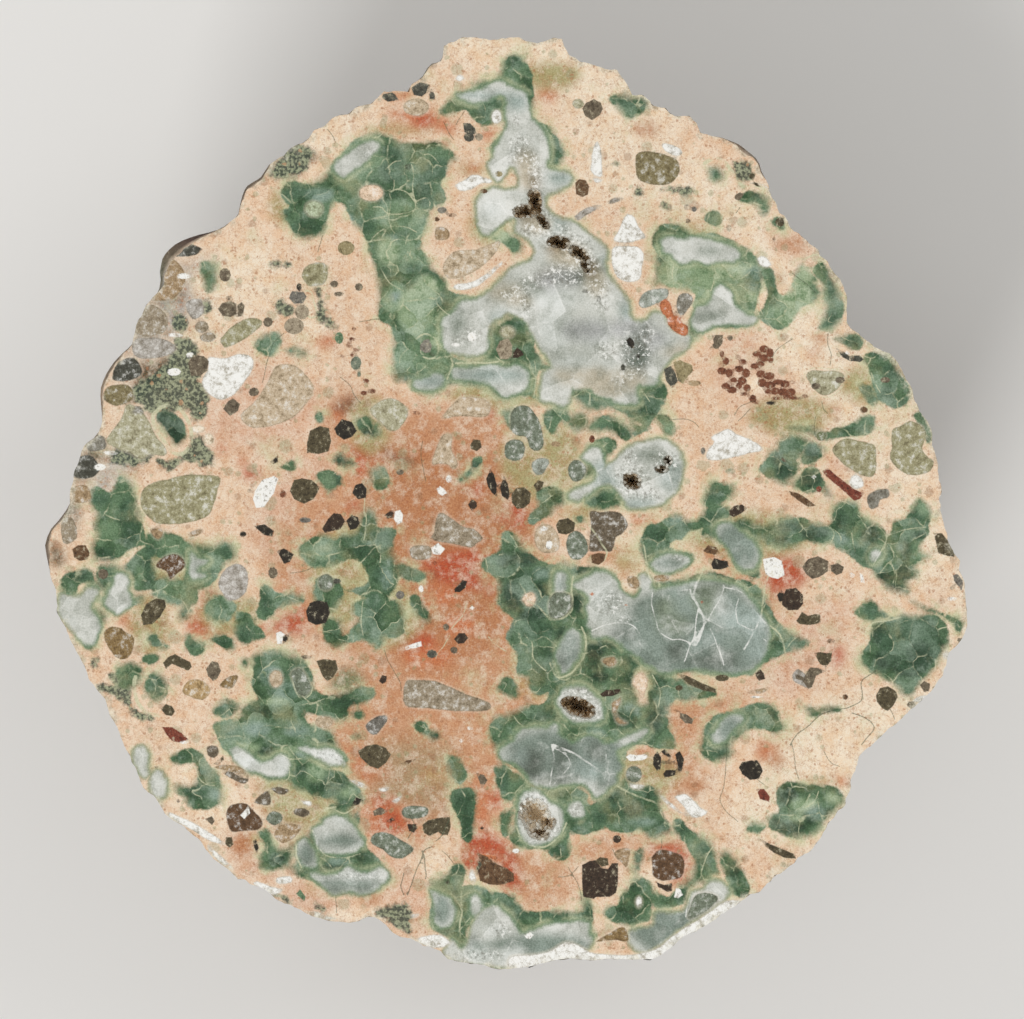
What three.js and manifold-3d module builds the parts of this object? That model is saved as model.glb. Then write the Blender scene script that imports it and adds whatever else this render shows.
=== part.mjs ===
// A half of a thunderegg: a nodule of altered rhyolite with quartz in its heart, sawn through and
// polished on the cut. It lies on its domed back with the cut face up. Millimetres, +Z up, and the
// origin is the middle of the small flat that it rests on.

import Module from "manifold-3d";
import * as THREE from "three";
import { mergeVertices } from "three/addons/utils/BufferGeometryUtils.js";

const wasm = await Module();
wasm.setup();

// Sizes of the stone
const FACE_HEIGHT = 40; // the cut face above the surface that the stone rests on
const BASE_RADIUS = 17; // of the natural flat on the back
const BASE_WOBBLE = 1.2; // how far that flat strays from a circle
const LIP_DROP = 1.4; // how far below the face the stone is widest
const RIM_STEPS = 132;
const BACK_RINGS = 14;
const RIM_BLEND = 0.3; // share of the back over which the small steps of the edge fade out
const BLEND_STEPS = 7; // steps to each side that the faded edge is averaged over

// Warts and ribs of the rough back
const WART_COUNT = 90;
const WART_WIDTH = 0.26; // radians, seen from the middle of the face
const WART_HEIGHT = 2.8;
const SWELL_HEIGHT = 1.3;
const SWELL_SIZE = 17;

// Hollows and their crystals
const GAP = 0.3; // between the stone and a crust
const CRUST = 0.7; // thickness of a crust at its thinnest
const HOLLOW_SIDES = 9;
const HOLLOW_RINGS = 4;
const CRYSTAL_RADIUS = 0.32;
const CRYSTAL_LENGTH = 0.95;
const FINEST = 0.03; // edges of a crust shorter than this are merged away

// The stone's edge seen from above, clockwise from the top. A third number is how far the edge of
// the cut face lies inside the stone's widest line there.
const RIM = [
  [0, 46.7], [1.8, 46.5], [2.9, 46.2], [4, 46.7], [5.2, 46.6], [6, 45.1], [7.2, 44.4], [9.2, 43.8],
  [10.8, 43.3], [11.7, 41.7], [12.2, 40.9], [13.2, 40.9], [14.1, 40], [15.8, 39.2], [17.1, 38.8],
  [18.2, 38.8], [18.8, 37.4], [20, 36.9, 0.6], [22, 36.2, 1], [23.1, 35.5, 0.8], [24.5, 34.6, 0.4],
  [25.5, 32.6], [26.5, 30.5], [26.9, 29.2], [27.8, 28], [30, 26], [31.1, 24.8], [33.1, 22.5],
  [33.7, 19.7], [34.3, 17.4], [36.2, 15.8], [38, 15.2], [39.2, 13.2], [40.6, 10.6], [42.2, 7.4],
  [42.6, 4.9], [43.1, 1.5], [42.9, 0], [43.4, -2.2], [44.3, -4.3], [45.4, -7.5], [45.8, -11.4],
  [45.1, -13.8], [43.7, -15.1], [43.5, -16.8], [42.3, -18.5], [40, -20.6], [37.2, -23.2],
  [35.1, -24.8], [34.8, -26.5], [34.1, -27.8], [33.5, -29.5], [32.3, -31.2], [31.2, -33.2],
  [28.6, -35.7], [26.6, -37.1], [24.6, -38.9, 0.3], [21.2, -41.1, 0.4], [18.2, -42.9, 0.5],
  [15.4, -45.1, 0.6], [12.3, -45.5, 0.6], [8.3, -45.6, 0.6], [4, -45.7, 0.6], [0.9, -46.2, 0.6],
  [-1.8, -46.2, 0.6], [-4.9, -45.8, 0.6], [-6.6, -44.8, 0.6], [-8.8, -44, 0.6], [-10.9, -43.1, 0.6],
  [-12.8, -41.7, 0.5], [-14.3, -41.2, 0.4], [-16, -41.8, 0.4], [-19.1, -41.4, 0.4],
  [-21.8, -40, 0.4], [-24.5, -38.6, 0.5], [-26.8, -37.4, 0.6], [-29.2, -35.4, 0.7],
  [-31.1, -33.2, 0.8], [-34.2, -31.2, 1], [-35.4, -29.5, 1.4], [-37.1, -27.1, 2],
  [-38.6, -24, 2.4], [-39.1, -22.3, 2], [-40.3, -19.8, 1], [-42, -17.5, 0.4], [-43.7, -14.2],
  [-45.2, -10.2], [-46, -6.8, 0.3], [-46.2, -4.6, 0.8], [-44.9, -1.4, 0.5], [-44, 0], [-43.5, 2.8],
  [-42.8, 5.8], [-41.1, 6.9], [-40.7, 10.5, 0.8], [-40.2, 12.6, 0.9], [-38.8, 14.8, 0.6],
  [-37.7, 16], [-37.2, 18.3], [-35.4, 20.8], [-34.5, 23.1], [-34.3, 25.1, 0.8], [-31.7, 26.2, 0.9],
  [-29.5, 27.7, 0.8], [-27.4, 28.9], [-27, 30.6], [-26, 32.3], [-25.2, 33.2, 0.6],
  [-24, 34, 0.6], [-22.5, 35.4], [-20.2, 36.9], [-17.8, 38.5], [-15.1, 39.8], [-12.6, 41.1],
  [-10, 41.5, 0.2], [-8.6, 43.2, 0.9], [-6.8, 44.6, 0.6], [-6.6, 45.2], [-4.8, 46.8], [-2.6, 46.6],
];

// Each hollow is a few rounded pods that run together. A pod has its middle on the cut face, its
// two half widths, the turn of the first one in degrees, and its depth.
const HOLLOWS = {
  north_cleft_crystals: [
    { x: 1.5, y: 29.4, wide: 1.35, long: 0.7, turn: 5, deep: 4.2 },
    { x: 2.5, y: 30.4, wide: 0.7, long: 1.35, turn: 8, deep: 5 },
    { x: 3.3, y: 28.4, wide: 0.45, long: 0.95, turn: 38, deep: 3.6 },
    { x: 4.9, y: 26.3, wide: 1.2, long: 0.65, turn: 0, deep: 4.6 },
    { x: 6.9, y: 25.2, wide: 1.2, long: 0.6, turn: -32, deep: 4.2 },
    { x: 7.55, y: 24.1, wide: 0.45, long: 0.85, turn: 12, deep: 3.2 },
  ],
  east_eye_crystals: [{ x: 12.2, y: 2.4, wide: 0.95, long: 0.85, turn: -20, deep: 4.5 }],
  east_pit_crystals: [
    { x: 15.8, y: 4.4, wide: 0.45, long: 0.5, turn: 0, deep: 2.6 },
    { x: 15.2, y: 3.6, wide: 0.7, long: 0.4, turn: 0, deep: 2.4 },
  ],
  south_eye_crystals: [{ x: 6.8, y: -20.2, wide: 1.8, long: 0.95, turn: -22, deep: 5.5 }],
  bowl_crystals: [
    { x: 2.5, y: -31, wide: 1.55, long: 1.75, turn: 25, deep: 2.4 },
    { x: 3.7, y: -31.8, wide: 0.9, long: 0.7, turn: 20, deep: 3.2 },
    { x: 2.9, y: -32.8, wide: 1.1, long: 0.75, turn: -10, deep: 2.8 },
  ],
};

const STONE = new THREE.MeshStandardMaterial({ color: 0x93957a, roughness: 0.45 });
const QUARTZ = new THREE.MeshStandardMaterial({ color: 0xd9dad6, roughness: 0.3 });

// A repeatable number from 0 to 1 for any three numbers
function scatter(a, b, c) {
  const wave = Math.sin(a * 127.1 + b * 311.7 + c * 74.7) * 43758.5453;
  return wave - Math.floor(wave);
}

// Smooth noise from -1 to 1 that varies over a length of 1
function swell(point) {
  const cell = point.clone().floor();
  const inside = point.clone().sub(cell);
  const ease = (t) => t * t * (3 - 2 * t);
  const at = (i, j, k) => scatter(cell.x + i, cell.y + j, cell.z + k);
  const row = (j, k) => THREE.MathUtils.lerp(at(0, j, k), at(1, j, k), ease(inside.x));
  const sheet = (k) => THREE.MathUtils.lerp(row(0, k), row(1, k), ease(inside.y));
  return 2 * THREE.MathUtils.lerp(sheet(0), sheet(1), ease(inside.z)) - 1;
}

// Directions of the warts, spread evenly over the lower half of a ball
const WARTS = Array.from({ length: WART_COUNT }, (_, i) => {
  const down = (i + 0.5) / WART_COUNT;
  const around = i * 2.39996 + scatter(i, 1, 0) * 0.7;
  const across = Math.sqrt(1 - down * down);
  const size = 0.55 + 0.45 * scatter(i, 2, 0);
  const way = new THREE.Vector3(across * Math.cos(around), across * Math.sin(around), -down);
  return { way, size };
});

// How far the rough back stands out at a point of the smooth back
function roughness(point) {
  const way = point.clone().sub(new THREE.Vector3(0, 0, FACE_HEIGHT)).normalize();
  let height = SWELL_HEIGHT * swell(point.clone().divideScalar(SWELL_SIZE));
  for (const wart of WARTS) {
    const away = way.angleTo(wart.way) / (WART_WIDTH * wart.size);
    if (away < 1) {
      height += WART_HEIGHT * wart.size * (1 - away * away) ** 2;
    }
  }
  return height - WART_HEIGHT / 3;
}

// A closed mesh from rings of equal length, the first at the top and each clockwise from above
function loft(rings) {
  const steps = rings[0].length;
  const middle = (ring) => {
    const sum = ring.reduce((total, point) => total.add(point), new THREE.Vector3());
    return sum.divideScalar(ring.length);
  };
  const points = [...rings.flat(), middle(rings[0]), middle(rings.at(-1))];
  const top = rings.length * steps;
  const last = (rings.length - 1) * steps;
  const index = [];
  for (let step = 0; step < steps; step++) {
    const next = (step + 1) % steps;
    for (let ring = 0; ring + 1 < rings.length; ring++) {
      const [a, b] = [ring * steps + step, ring * steps + next];
      index.push(a, b, a + steps, b, b + steps, a + steps);
    }
    index.push(top, next, step, top + 1, last + step, last + next);
  }
  const geometry = new THREE.BufferGeometry().setFromPoints(points);
  geometry.setIndex(index);
  return geometry;
}

function toSolid(geometry) {
  const bare = geometry.clone();
  bare.deleteAttribute("normal");
  bare.deleteAttribute("uv");
  const merged = mergeVertices(bare, 1e-4);
  const vertProperties = new Float32Array(merged.attributes.position.array);
  const triVerts = new Uint32Array(merged.index.array);
  return new wasm.Manifold(new wasm.Mesh({ numProp: 3, vertProperties, triVerts }));
}

function toMesh(name, solid, material) {
  const { numProp, vertProperties, triVerts } = solid.getMesh();
  const geometry = new THREE.BufferGeometry();
  geometry.setAttribute("position", new THREE.BufferAttribute(vertProperties, numProp));
  geometry.setIndex(new THREE.BufferAttribute(triVerts, 1));
  const mesh = new THREE.Mesh(geometry, material);
  mesh.name = name;
  return mesh;
}

// The stone without its hollows: the cut edge, the widest line just below it, then the back
function stoneBody() {
  const corners = RIM.map(([x, y]) => new THREE.Vector3(x, y, 0));
  const lips = RIM.map(([, , lip = 0]) => lip);
  const curve = new THREE.CatmullRomCurve3(corners, true, "centripetal");
  const edge = [];
  for (let step = 0; step < RIM_STEPS; step++) {
    const place = (step / RIM_STEPS) * RIM.length;
    const before = Math.floor(place);
    const lip = THREE.MathUtils.lerp(lips[before], lips[(before + 1) % RIM.length], place - before);
    edge.push({ point: curve.getPoint(step / RIM_STEPS), lip });
  }
  const sharp = edge.map(({ point, lip }) => {
    const reach = point.length();
    return point.clone().multiplyScalar((reach - lip) / reach).setZ(FACE_HEIGHT);
  });
  const smooth = edge.map((_, step) => {
    const sum = new THREE.Vector3();
    for (let away = -BLEND_STEPS; away <= BLEND_STEPS; away++) {
      sum.add(edge[(step + away + RIM_STEPS) % RIM_STEPS].point);
    }
    return sum.divideScalar(2 * BLEND_STEPS + 1);
  });
  const rings = [sharp];
  const mean = edge.reduce((sum, { point }) => sum + point.length(), 0) / RIM_STEPS;
  const lowest = Math.acos(BASE_RADIUS / mean);
  for (let ring = 0; ring <= BACK_RINGS; ring++) {
    const share = ring / BACK_RINGS;
    const fall = lowest * share;
    const sunk = (FACE_HEIGHT - LIP_DROP) * (Math.sin(fall) / Math.sin(lowest));
    const height = FACE_HEIGHT - LIP_DROP - sunk;
    const rough = Math.sin(Math.PI * share ** 0.8);
    const faded = Math.min(1, share / RIM_BLEND);
    const around = edge.map(({ point }, step) => point.clone().lerp(smooth[step], faded));
    rings.push(around.map((point) => backPoint(point, mean, share, fall, height, rough)));
  }
  return toSolid(loft(rings));
}

// One point of the back, which turns from the outline of the face to the round of the base
function backPoint(edgePoint, mean, share, fall, height, rough) {
  const wobble = BASE_WOBBLE * swell(edgePoint.clone().divideScalar(12));
  const round = THREE.MathUtils.lerp(edgePoint.length(), mean + wobble, share ** 1.5);
  const point = edgePoint.clone().setLength(round * Math.cos(fall)).setZ(height);
  if (share === 0 || share === 1) {
    return point;
  }
  const out = point.clone().sub(new THREE.Vector3(0, 0, FACE_HEIGHT)).normalize();
  return point.addScaledVector(out, roughness(point) * rough).setZ(Math.max(point.z, 0.4));
}

// A rounded pit under the face, wider or narrower than its pod by a margin. It rises above the face
// by a cap, so that it cuts the face cleanly.
function podSolid(pod, margin, cap) {
  const rings = [];
  const turn = THREE.MathUtils.degToRad(pod.turn);
  for (let ring = -1; ring < HOLLOW_RINGS; ring++) {
    const share = Math.max(ring, 0) / (HOLLOW_RINGS - 0.6);
    const width = Math.sqrt(1 - share * share);
    const depth = (pod.deep + margin) * share;
    const points = [];
    for (let side = 0; side < HOLLOW_SIDES; side++) {
      const angle = (-2 * Math.PI * side) / HOLLOW_SIDES;
      const dent = 1 + 0.12 * (scatter(pod.x + side, pod.y, 3) - 0.5) * 2;
      const x = (pod.wide * dent + margin) * width * Math.cos(angle);
      const y = (pod.long * dent + margin) * width * Math.sin(angle);
      const spot = new THREE.Vector2(x, y).rotateAround(new THREE.Vector2(), turn);
      const z = FACE_HEIGHT + (ring < 0 ? cap : -depth);
      points.push(new THREE.Vector3(pod.x + spot.x, pod.y + spot.y, z));
    }
    rings.push(points);
  }
  return toSolid(loft(rings));
}

const joined = (solids) => solids.reduce((all, solid) => all.add(solid));
const hollow = (pods, margin, cap) => joined(pods.map((pod) => podSolid(pod, margin, cap)));

// Six-sided quartz crystal with a point, its foot at the origin and its point towards +Y
function crystal(radius, length) {
  const profile = [
    new THREE.Vector2(0, -0.35 * radius),
    new THREE.Vector2(radius, -0.35 * radius),
    new THREE.Vector2(radius, 0.5 * length),
    new THREE.Vector2(0, length),
  ];
  return new THREE.LatheGeometry(profile, 6);
}

// Whether a point lies in the open space of a pod
function inPod(pod, point) {
  const turn = -THREE.MathUtils.degToRad(pod.turn);
  const flat = new THREE.Vector2(point.x - pod.x, point.y - pod.y);
  flat.rotateAround(new THREE.Vector2(), turn);
  const down = (FACE_HEIGHT - point.z) / pod.deep;
  return (flat.x / pod.wide) ** 2 + (flat.y / pod.long) ** 2 + down ** 2 < 0.98;
}

// Crystals that stand on the wall of a pod and point towards its middle. Where another pod opens
// the wall, none stands.
function podCrystals(pod, index, pods) {
  const found = [];
  const turn = THREE.MathUtils.degToRad(pod.turn);
  const around = Math.max(3, Math.round(1.2 * (pod.wide + pod.long)));
  const tiers = pod.long > 0.8 ? 2 : 1;
  for (let tier = 0; tier < tiers; tier++) {
    for (let side = 0; side < around; side++) {
      const dice = (n) => scatter(pod.x * 3 + side, pod.y + tier, index + n);
      const angle = (2 * Math.PI * (side + 0.5 * tier + 0.4 * dice(1))) / around;
      const sunk = 0.34 + 0.3 * tier + 0.06 * dice(2);
      const width = Math.sqrt(1 - sunk * sunk);
      const x = pod.wide * width * Math.cos(angle);
      const y = pod.long * width * Math.sin(angle);
      const spot = new THREE.Vector2(x, y).rotateAround(new THREE.Vector2(), turn);
      const foot = new THREE.Vector3(pod.x + spot.x, pod.y + spot.y, FACE_HEIGHT - pod.deep * sunk);
      if (pods.some((other) => other !== pod && inPod(other, foot))) {
        continue;
      }
      const aim = new THREE.Vector3(pod.x, pod.y, foot.z + 0.25).sub(foot).normalize();
      const reach = Math.min(CRYSTAL_LENGTH, 0.8 * pod.long) * (0.7 + 0.5 * dice(4));
      const radius = Math.min(CRYSTAL_RADIUS, 0.34 * pod.long) * (0.8 + 0.4 * dice(5));
      const grown = crystal(radius, reach);
      grown.rotateY(dice(6) * Math.PI);
      grown.applyQuaternion(
        new THREE.Quaternion().setFromUnitVectors(new THREE.Vector3(0, 1, 0), aim),
      );
      grown.translate(foot.x, foot.y, foot.z);
      found.push(toSolid(grown));
    }
  }
  return found;
}

// The crust of one hollow: a lining with an open middle and crystals on it, flush with the face.
// A pore that its crystals close off is filled.
function crust(name, pods) {
  const lining = hollow(pods, CRUST, 0).subtract(hollow(pods, 0, 1));
  const grown = joined([lining, ...pods.flatMap(podCrystals)]).simplify(FINEST);
  const bodies = grown.decompose();
  bodies.sort((one, other) => other.volume() - one.volume());
  return toMesh(name, bodies[0], QUARTZ);
}

const thunderegg = new THREE.Group();
const pockets = Object.values(HOLLOWS).map((pods) => hollow(pods, CRUST + GAP, 1));
thunderegg.add(toMesh("nodule", stoneBody().subtract(joined(pockets)), STONE));
for (const [name, pods] of Object.entries(HOLLOWS)) {
  thunderegg.add(crust(name, pods));
}

export default thunderegg;
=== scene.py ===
# Half of a thunderegg, cut and polished, lying on its domed back and seen from straight above.
import math

import bmesh
import bpy
import numpy as np
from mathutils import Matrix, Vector
from mathutils.geometry import delaunay_2d_cdt


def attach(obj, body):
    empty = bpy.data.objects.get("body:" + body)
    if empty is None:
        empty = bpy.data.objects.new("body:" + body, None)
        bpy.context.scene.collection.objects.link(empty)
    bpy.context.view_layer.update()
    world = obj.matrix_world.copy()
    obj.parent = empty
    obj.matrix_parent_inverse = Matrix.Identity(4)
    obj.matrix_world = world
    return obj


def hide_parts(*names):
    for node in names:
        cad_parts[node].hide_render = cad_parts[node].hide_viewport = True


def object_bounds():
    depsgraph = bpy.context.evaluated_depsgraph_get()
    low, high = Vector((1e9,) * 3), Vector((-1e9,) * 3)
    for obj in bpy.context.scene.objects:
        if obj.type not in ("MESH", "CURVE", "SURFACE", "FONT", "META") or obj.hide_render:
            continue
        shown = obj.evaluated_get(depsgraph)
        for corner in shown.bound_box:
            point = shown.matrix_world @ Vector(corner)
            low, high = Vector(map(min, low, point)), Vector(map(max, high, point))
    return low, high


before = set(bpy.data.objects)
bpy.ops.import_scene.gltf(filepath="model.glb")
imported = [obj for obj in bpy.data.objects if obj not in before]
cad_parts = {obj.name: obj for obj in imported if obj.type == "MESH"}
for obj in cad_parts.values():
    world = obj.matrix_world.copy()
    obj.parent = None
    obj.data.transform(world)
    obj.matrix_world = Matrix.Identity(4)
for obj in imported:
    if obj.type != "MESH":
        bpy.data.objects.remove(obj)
cad_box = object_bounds()

MM = 0.001

# View and light
VIEW_WIDTH = 0.1024
VIEW_CENTRE = (0.0002, -0.00045)
LENS = 250.0
SENSOR = 36.0
FLOOR_SIZE = 3.0
FLOOR_COLOUR = (0.84, 0.83, 0.81)
WORLD_STRENGTH = 0.46
# name, place in m, size in m, watts
SOFTBOXES = (
    ("key_softbox", (-0.9, -1.9, 1.75), 0.9, 36.0),
    ("fill_softbox", (1.9, 1.1, 1.9), 1.5, 13.0),
    ("back_softbox", (-1.6, 1.5, 1.8), 1.5, 12.0),
)

# Fineness of the stone's mesh, in mm
FACE_SPACING = 0.37
HOLLOW_SPACING = 0.12
OUTLINE_STEP = 0.4
LINE_STEP = 0.34
RIM_SPACING = 0.4
MOST_CUTS = 6
# A marking's points keep this far from the edge of the face, in mm
RIM_MARGIN = 0.3
# In spacings of the net: how wide the square is that a marking's point keeps clear of the net, and how far
# the net keeps from the edge
CROWDED = 0.55
NET_MARGIN = 0.45

# The edge of the cut and the wall below it, in mm: how deep the chips are, how far down the wall follows
# the drawn edge, how far in the distance from it is worked out, and how the wall draws in below the edge
# and comes out again
RIM_CHIP = 0.2
RIM_FADE = 26.0
RIM_REACH = 5.0
UNDERCUT = 0.4
UNDERCUT_DEPTH = 1.5
RELEASE = 0.035
# Where the rough back stands out beyond the cut face: direction and width in degrees, how far in mm
BULGES = ((184, 5, 0.7), (163, 7, 0.7), (143, 5, 1.4), (129, 5, 0.7), (101, 2.5, 0.5), (56, 6, 0.6))
BULGE_TOP = 4.0
BULGE_FADE = 9.0
# How rough the back is, and over what depth in mm the roughness starts and the edge's patches end
RIND_ROUGHNESS = 0.32
ROUGH_START = 1.2
REST_FLAT = 0.8
RIND_PATCH_DEPTH = 8.0
# The CAD stone's faces that are this near to the cut and to its middle belong to the hollows, in mm
HOLLOW_DEPTH = 12.0
HOLLOW_REACH = 36.0
# The finer net reaches past each pod by this share of its size and by this many mm
POD_SHARE = 1.1
POD_MARGIN = 0.2

# The crystals in the hollows: how many on a square mm, how thick in mm, how tall for their thickness,
# how unruly, and how deep in mm the first ones sit
DRUSE_DENSITY = 16
DRUSE_RADIUS = (0.1, 0.22)
DRUSE_TALLNESS = (1.1, 1.9)
DRUSE_UNRULY = 0.28
DRUSE_TOP = 0.12

# Half the width of each kind of line, in mm
LINE_WIDTHS = {"fine": 0.02, "line": 0.035, "vein": 0.07, "band": 0.18}

# How far a layer's distance is worked out from its outlines, in mm
REACH = 2.5

# Colours of the stone, as 0 to 255 sRGB
PALETTE = {
    "peach": (240, 214, 187),
    "cream": (248, 232, 208),
    "rosy": (228, 193, 168),
    "salmon": (208, 158, 122),
    "clay": (190, 132, 92),
    "orange": (204, 124, 82),
    "red": (188, 84, 50),
    "rust": (124, 74, 50),
    "ochre": (190, 160, 114),
    "green": (102, 130, 98),
    "deep": (80, 110, 84),
    "dark_green": (56, 84, 62),
    "mid": (118, 142, 110),
    "soft": (146, 168, 138),
    "pale_green": (190, 202, 170),
    "olive_green": (120, 128, 92),
    "green_wash": (176, 168, 122),
    "blue_green": (146, 166, 154),
    "grey_green": (122, 132, 114),
    "quartz": (236, 236, 230),
    "grey_quartz": (164, 171, 160),
    "blue_quartz": (180, 194, 188),
    "warm_quartz": (226, 214, 194),
    "dim_quartz": (118, 128, 118),
    "white": (252, 251, 246),
    "olive": (140, 128, 92),
    "khaki": (156, 143, 106),
    "tan": (176, 150, 116),
    "grey_tan": (164, 150, 128),
    "grey_pink": (208, 188, 160),
    "pale_olive": (186, 182, 152),
    "grey": (140, 136, 124),
    "dark_grey": (80, 80, 70),
    "gold": (146, 120, 78),
    "lilac": (186, 180, 172),
    "lilac_quartz": (196, 196, 196),
    "brown_moss": (96, 80, 56),
    "dark_moss": (70, 84, 64),
    "grey_rind": (150, 150, 138),
    "sage_quartz": (146, 158, 138),
    "dusk": (150, 164, 154),
    "slate": (118, 114, 106),
    "umber": (112, 100, 82),
    "sage": (168, 163, 128),
    "black": (46, 40, 30),
    "brown": (104, 76, 50),
    "dark_brown": (62, 47, 34),
    "dark_olive": (86, 77, 54),
    "dark_red": (126, 62, 44),
    "ground_warm": (236, 202, 166),
    "ground_light": (244, 228, 206),
    "ground_stain": (222, 172, 130),
    "bit_green": (150, 156, 122),
    "bit_brown": (150, 112, 82),
    "edge_pale": (240, 234, 214),
    "edge_dark": (138, 134, 112),
    "speck_brown": (176, 120, 84),
    "speck_green": (150, 158, 120),
    "moss_dark": (50, 68, 56),
    "moss_light": (150, 158, 128),
    "moss_orange": (200, 150, 110),
    "green_halo": (205, 208, 168),
    "cell_shade": (150, 180, 150),
    "cell_light": (176, 194, 176),
    "pale_line": (212, 212, 178),
    "olive_halo": (176, 170, 128),
    "quartz_rim": (112, 138, 108),
    "quartz_shade": (170, 176, 166),
    "quartz_light": (238, 240, 236),
    "druse": (236, 233, 224),
    "druse_brown": (232, 206, 168),
    "druse_shadow": (112, 108, 96),
    "clast_shade": (150, 140, 118),
    "crystal_shade": (130, 118, 100),
    "fleck": (206, 196, 168),
    "crack": (78, 88, 66),
    "rind": (150, 132, 108),
    "rind_green": (96, 108, 88),
    "rind_pink": (186, 156, 134),
    # Dark patches of the back, and painted shade on the wall along the edge
    "rind_dark": (84, 62, 52),
    "rind_shade": (140, 128, 112),
    "rind_light": (206, 192, 168),
    "rind_grit": (74, 66, 52),
}

# The hollows of the face, each made of overlapping pods: x, y, half width, half height, turn in degrees,
# depth. All but the turn are in mm.
HOLLOWS = {
    "north_cleft_crystals": (
        (1.5, 29.4, 1.35, 0.7, 5, 4.2),
        (2.5, 30.4, 0.7, 1.35, 8, 5.0),
        (3.3, 28.4, 0.45, 0.95, 38, 3.6),
        (4.9, 26.3, 1.2, 0.65, 0, 4.6),
        (6.9, 25.2, 1.2, 0.6, -32, 4.2),
        (7.55, 24.1, 0.45, 0.85, 12, 3.2),
    ),
    "east_eye_crystals": ((12.2, 2.4, 0.95, 0.85, -20, 4.5),),
    "east_pit_crystals": (
        (15.8, 4.4, 0.45, 0.5, 0, 2.6),
        (15.2, 3.6, 0.7, 0.4, 0, 2.4),
    ),
    "south_eye_crystals": ((6.8, -20.2, 1.8, 0.95, -22, 5.5),),
    "bowl_crystals": (
        (2.5, -31.0, 1.55, 1.75, 25, 2.4),
        (3.7, -31.8, 0.9, 0.7, 20, 3.2),
        (2.9, -32.8, 1.1, 0.75, -10, 2.8),
    ),
}

# The markings of the cut face, drawn from the photograph in tenths of a mm from the middle of the
# face, x to the right and y up. A word names a colour of the palette or a width of line. features() tells
# how a row is read. In the layers that are painted, later rows lie over earlier ones.

# The edge of the face
RIM = """
rim -340,243 -325,257 -310,267 -288,277 -272,289 -267,305 -263,315 -248,325 -240,341 -226,350 -220,356
-214,360 -202,366 -196,376 -186,378 -176,388 -168,391 -160,391 -152,399 -138,402 -129,410 -126,413 -101,414
-99,421 -88,426 -80,440 -69,444 -67,450 -66,459 -59,463 -54,464 -47,468 -34,468 -30,466 -12,465 -8,467
10,468 14,465 28,462 42,467 52,466 54,460 59,451 72,443 86,440 96,436 107,435 114,426 120,414 122,410
133,410 140,404 142,400 156,398 160,392 168,389 180,389 187,382 190,372 200,369 210,368 220,363 228,359
236,352 244,346 248,341 250,334 253,329 256,325 259,318 261,308 265,303 268,296 270,292 274,290 277,285
280,278 284,274 290,272 294,266 299,262 304,259 309,255 310,250 316,245 320,240 324,232 330,226 333,220
337,208 337,183 342,176 350,170 358,164 364,158 372,154 380,152 388,142 394,130 400,120 405,106 410,94
418,84 422,72 422,60 426,50 428,36 430,22 432,14 429,8 430,0 434,-20 438,-34 444,-48 450,-56 450,-66
454,-76 455,-90 457,-106 457,-122 452,-134 448,-140 438,-148 436,-160 432,-172 424,-182 418,-190 406,-200
396,-210 384,-220 370,-232 360,-241 354,-246 349,-252 347,-258 346,-266 343,-271 340,-276 341,-282 338,-289
336,-294 336,-299 332,-303 327,-307 324,-313 319,-318 317,-324 313,-328 310,-335 306,-341 300,-346 292,-352
287,-354 282,-360 276,-364 270,-369 265,-370 260,-377 254,-383 250,-388 240,-390 228,-400 210,-410 200,-418
184,-428 174,-431 160,-444 152,-450 140,-455 100,-454 80,-456 60,-454 40,-456 20,-462 0,-464 -10,-464
-20,-462 -26,-460 -32,-459 -48,-458 -62,-454 -66,-450 -70,-445 -80,-442 -88,-440 -96,-435 -100,-433
-110,-432 -118,-428 -124,-421 -130,-415 -136,-412 -142,-412 -150,-416 -160,-419 -170,-417 -186,-415
-196,-412 -208,-407 -220,-400 -226,-399 -234,-394 -244,-386 -252,-382 -260,-379 -266,-374 -272,-374
-280,-367 -285,-362 -290,-359 -297,-354 -300,-349 -306,-342 -310,-335 -316,-330 -322,-325 -330,-320
-340,-314 -346,-308 -348,-303 -351,-298 -356,-292 -362,-288 -366,-284 -369,-278 -372,-270 -374,-263
-378,-257 -381,-250 -387,-240 -390,-232 -392,-222 -398,-214 -402,-204 -404,-194 -412,-186 -420,-176
-426,-160 -434,-146 -440,-134 -448,-118 -453,-106 -453,-90 -456,-80 -460,-68 -461,-56 -462,-40 -458,-26
-448,-14 -440,0 -440,14 -438,22 -435,34 -432,42 -430,50 -424,62 -412,70 -407,84 -407,114 -402,128 -394,142
-386,152 -378,160 -376,170 -374,180 -368,190 -364,200 -354,210 -347,220 -346,230
"""
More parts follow.
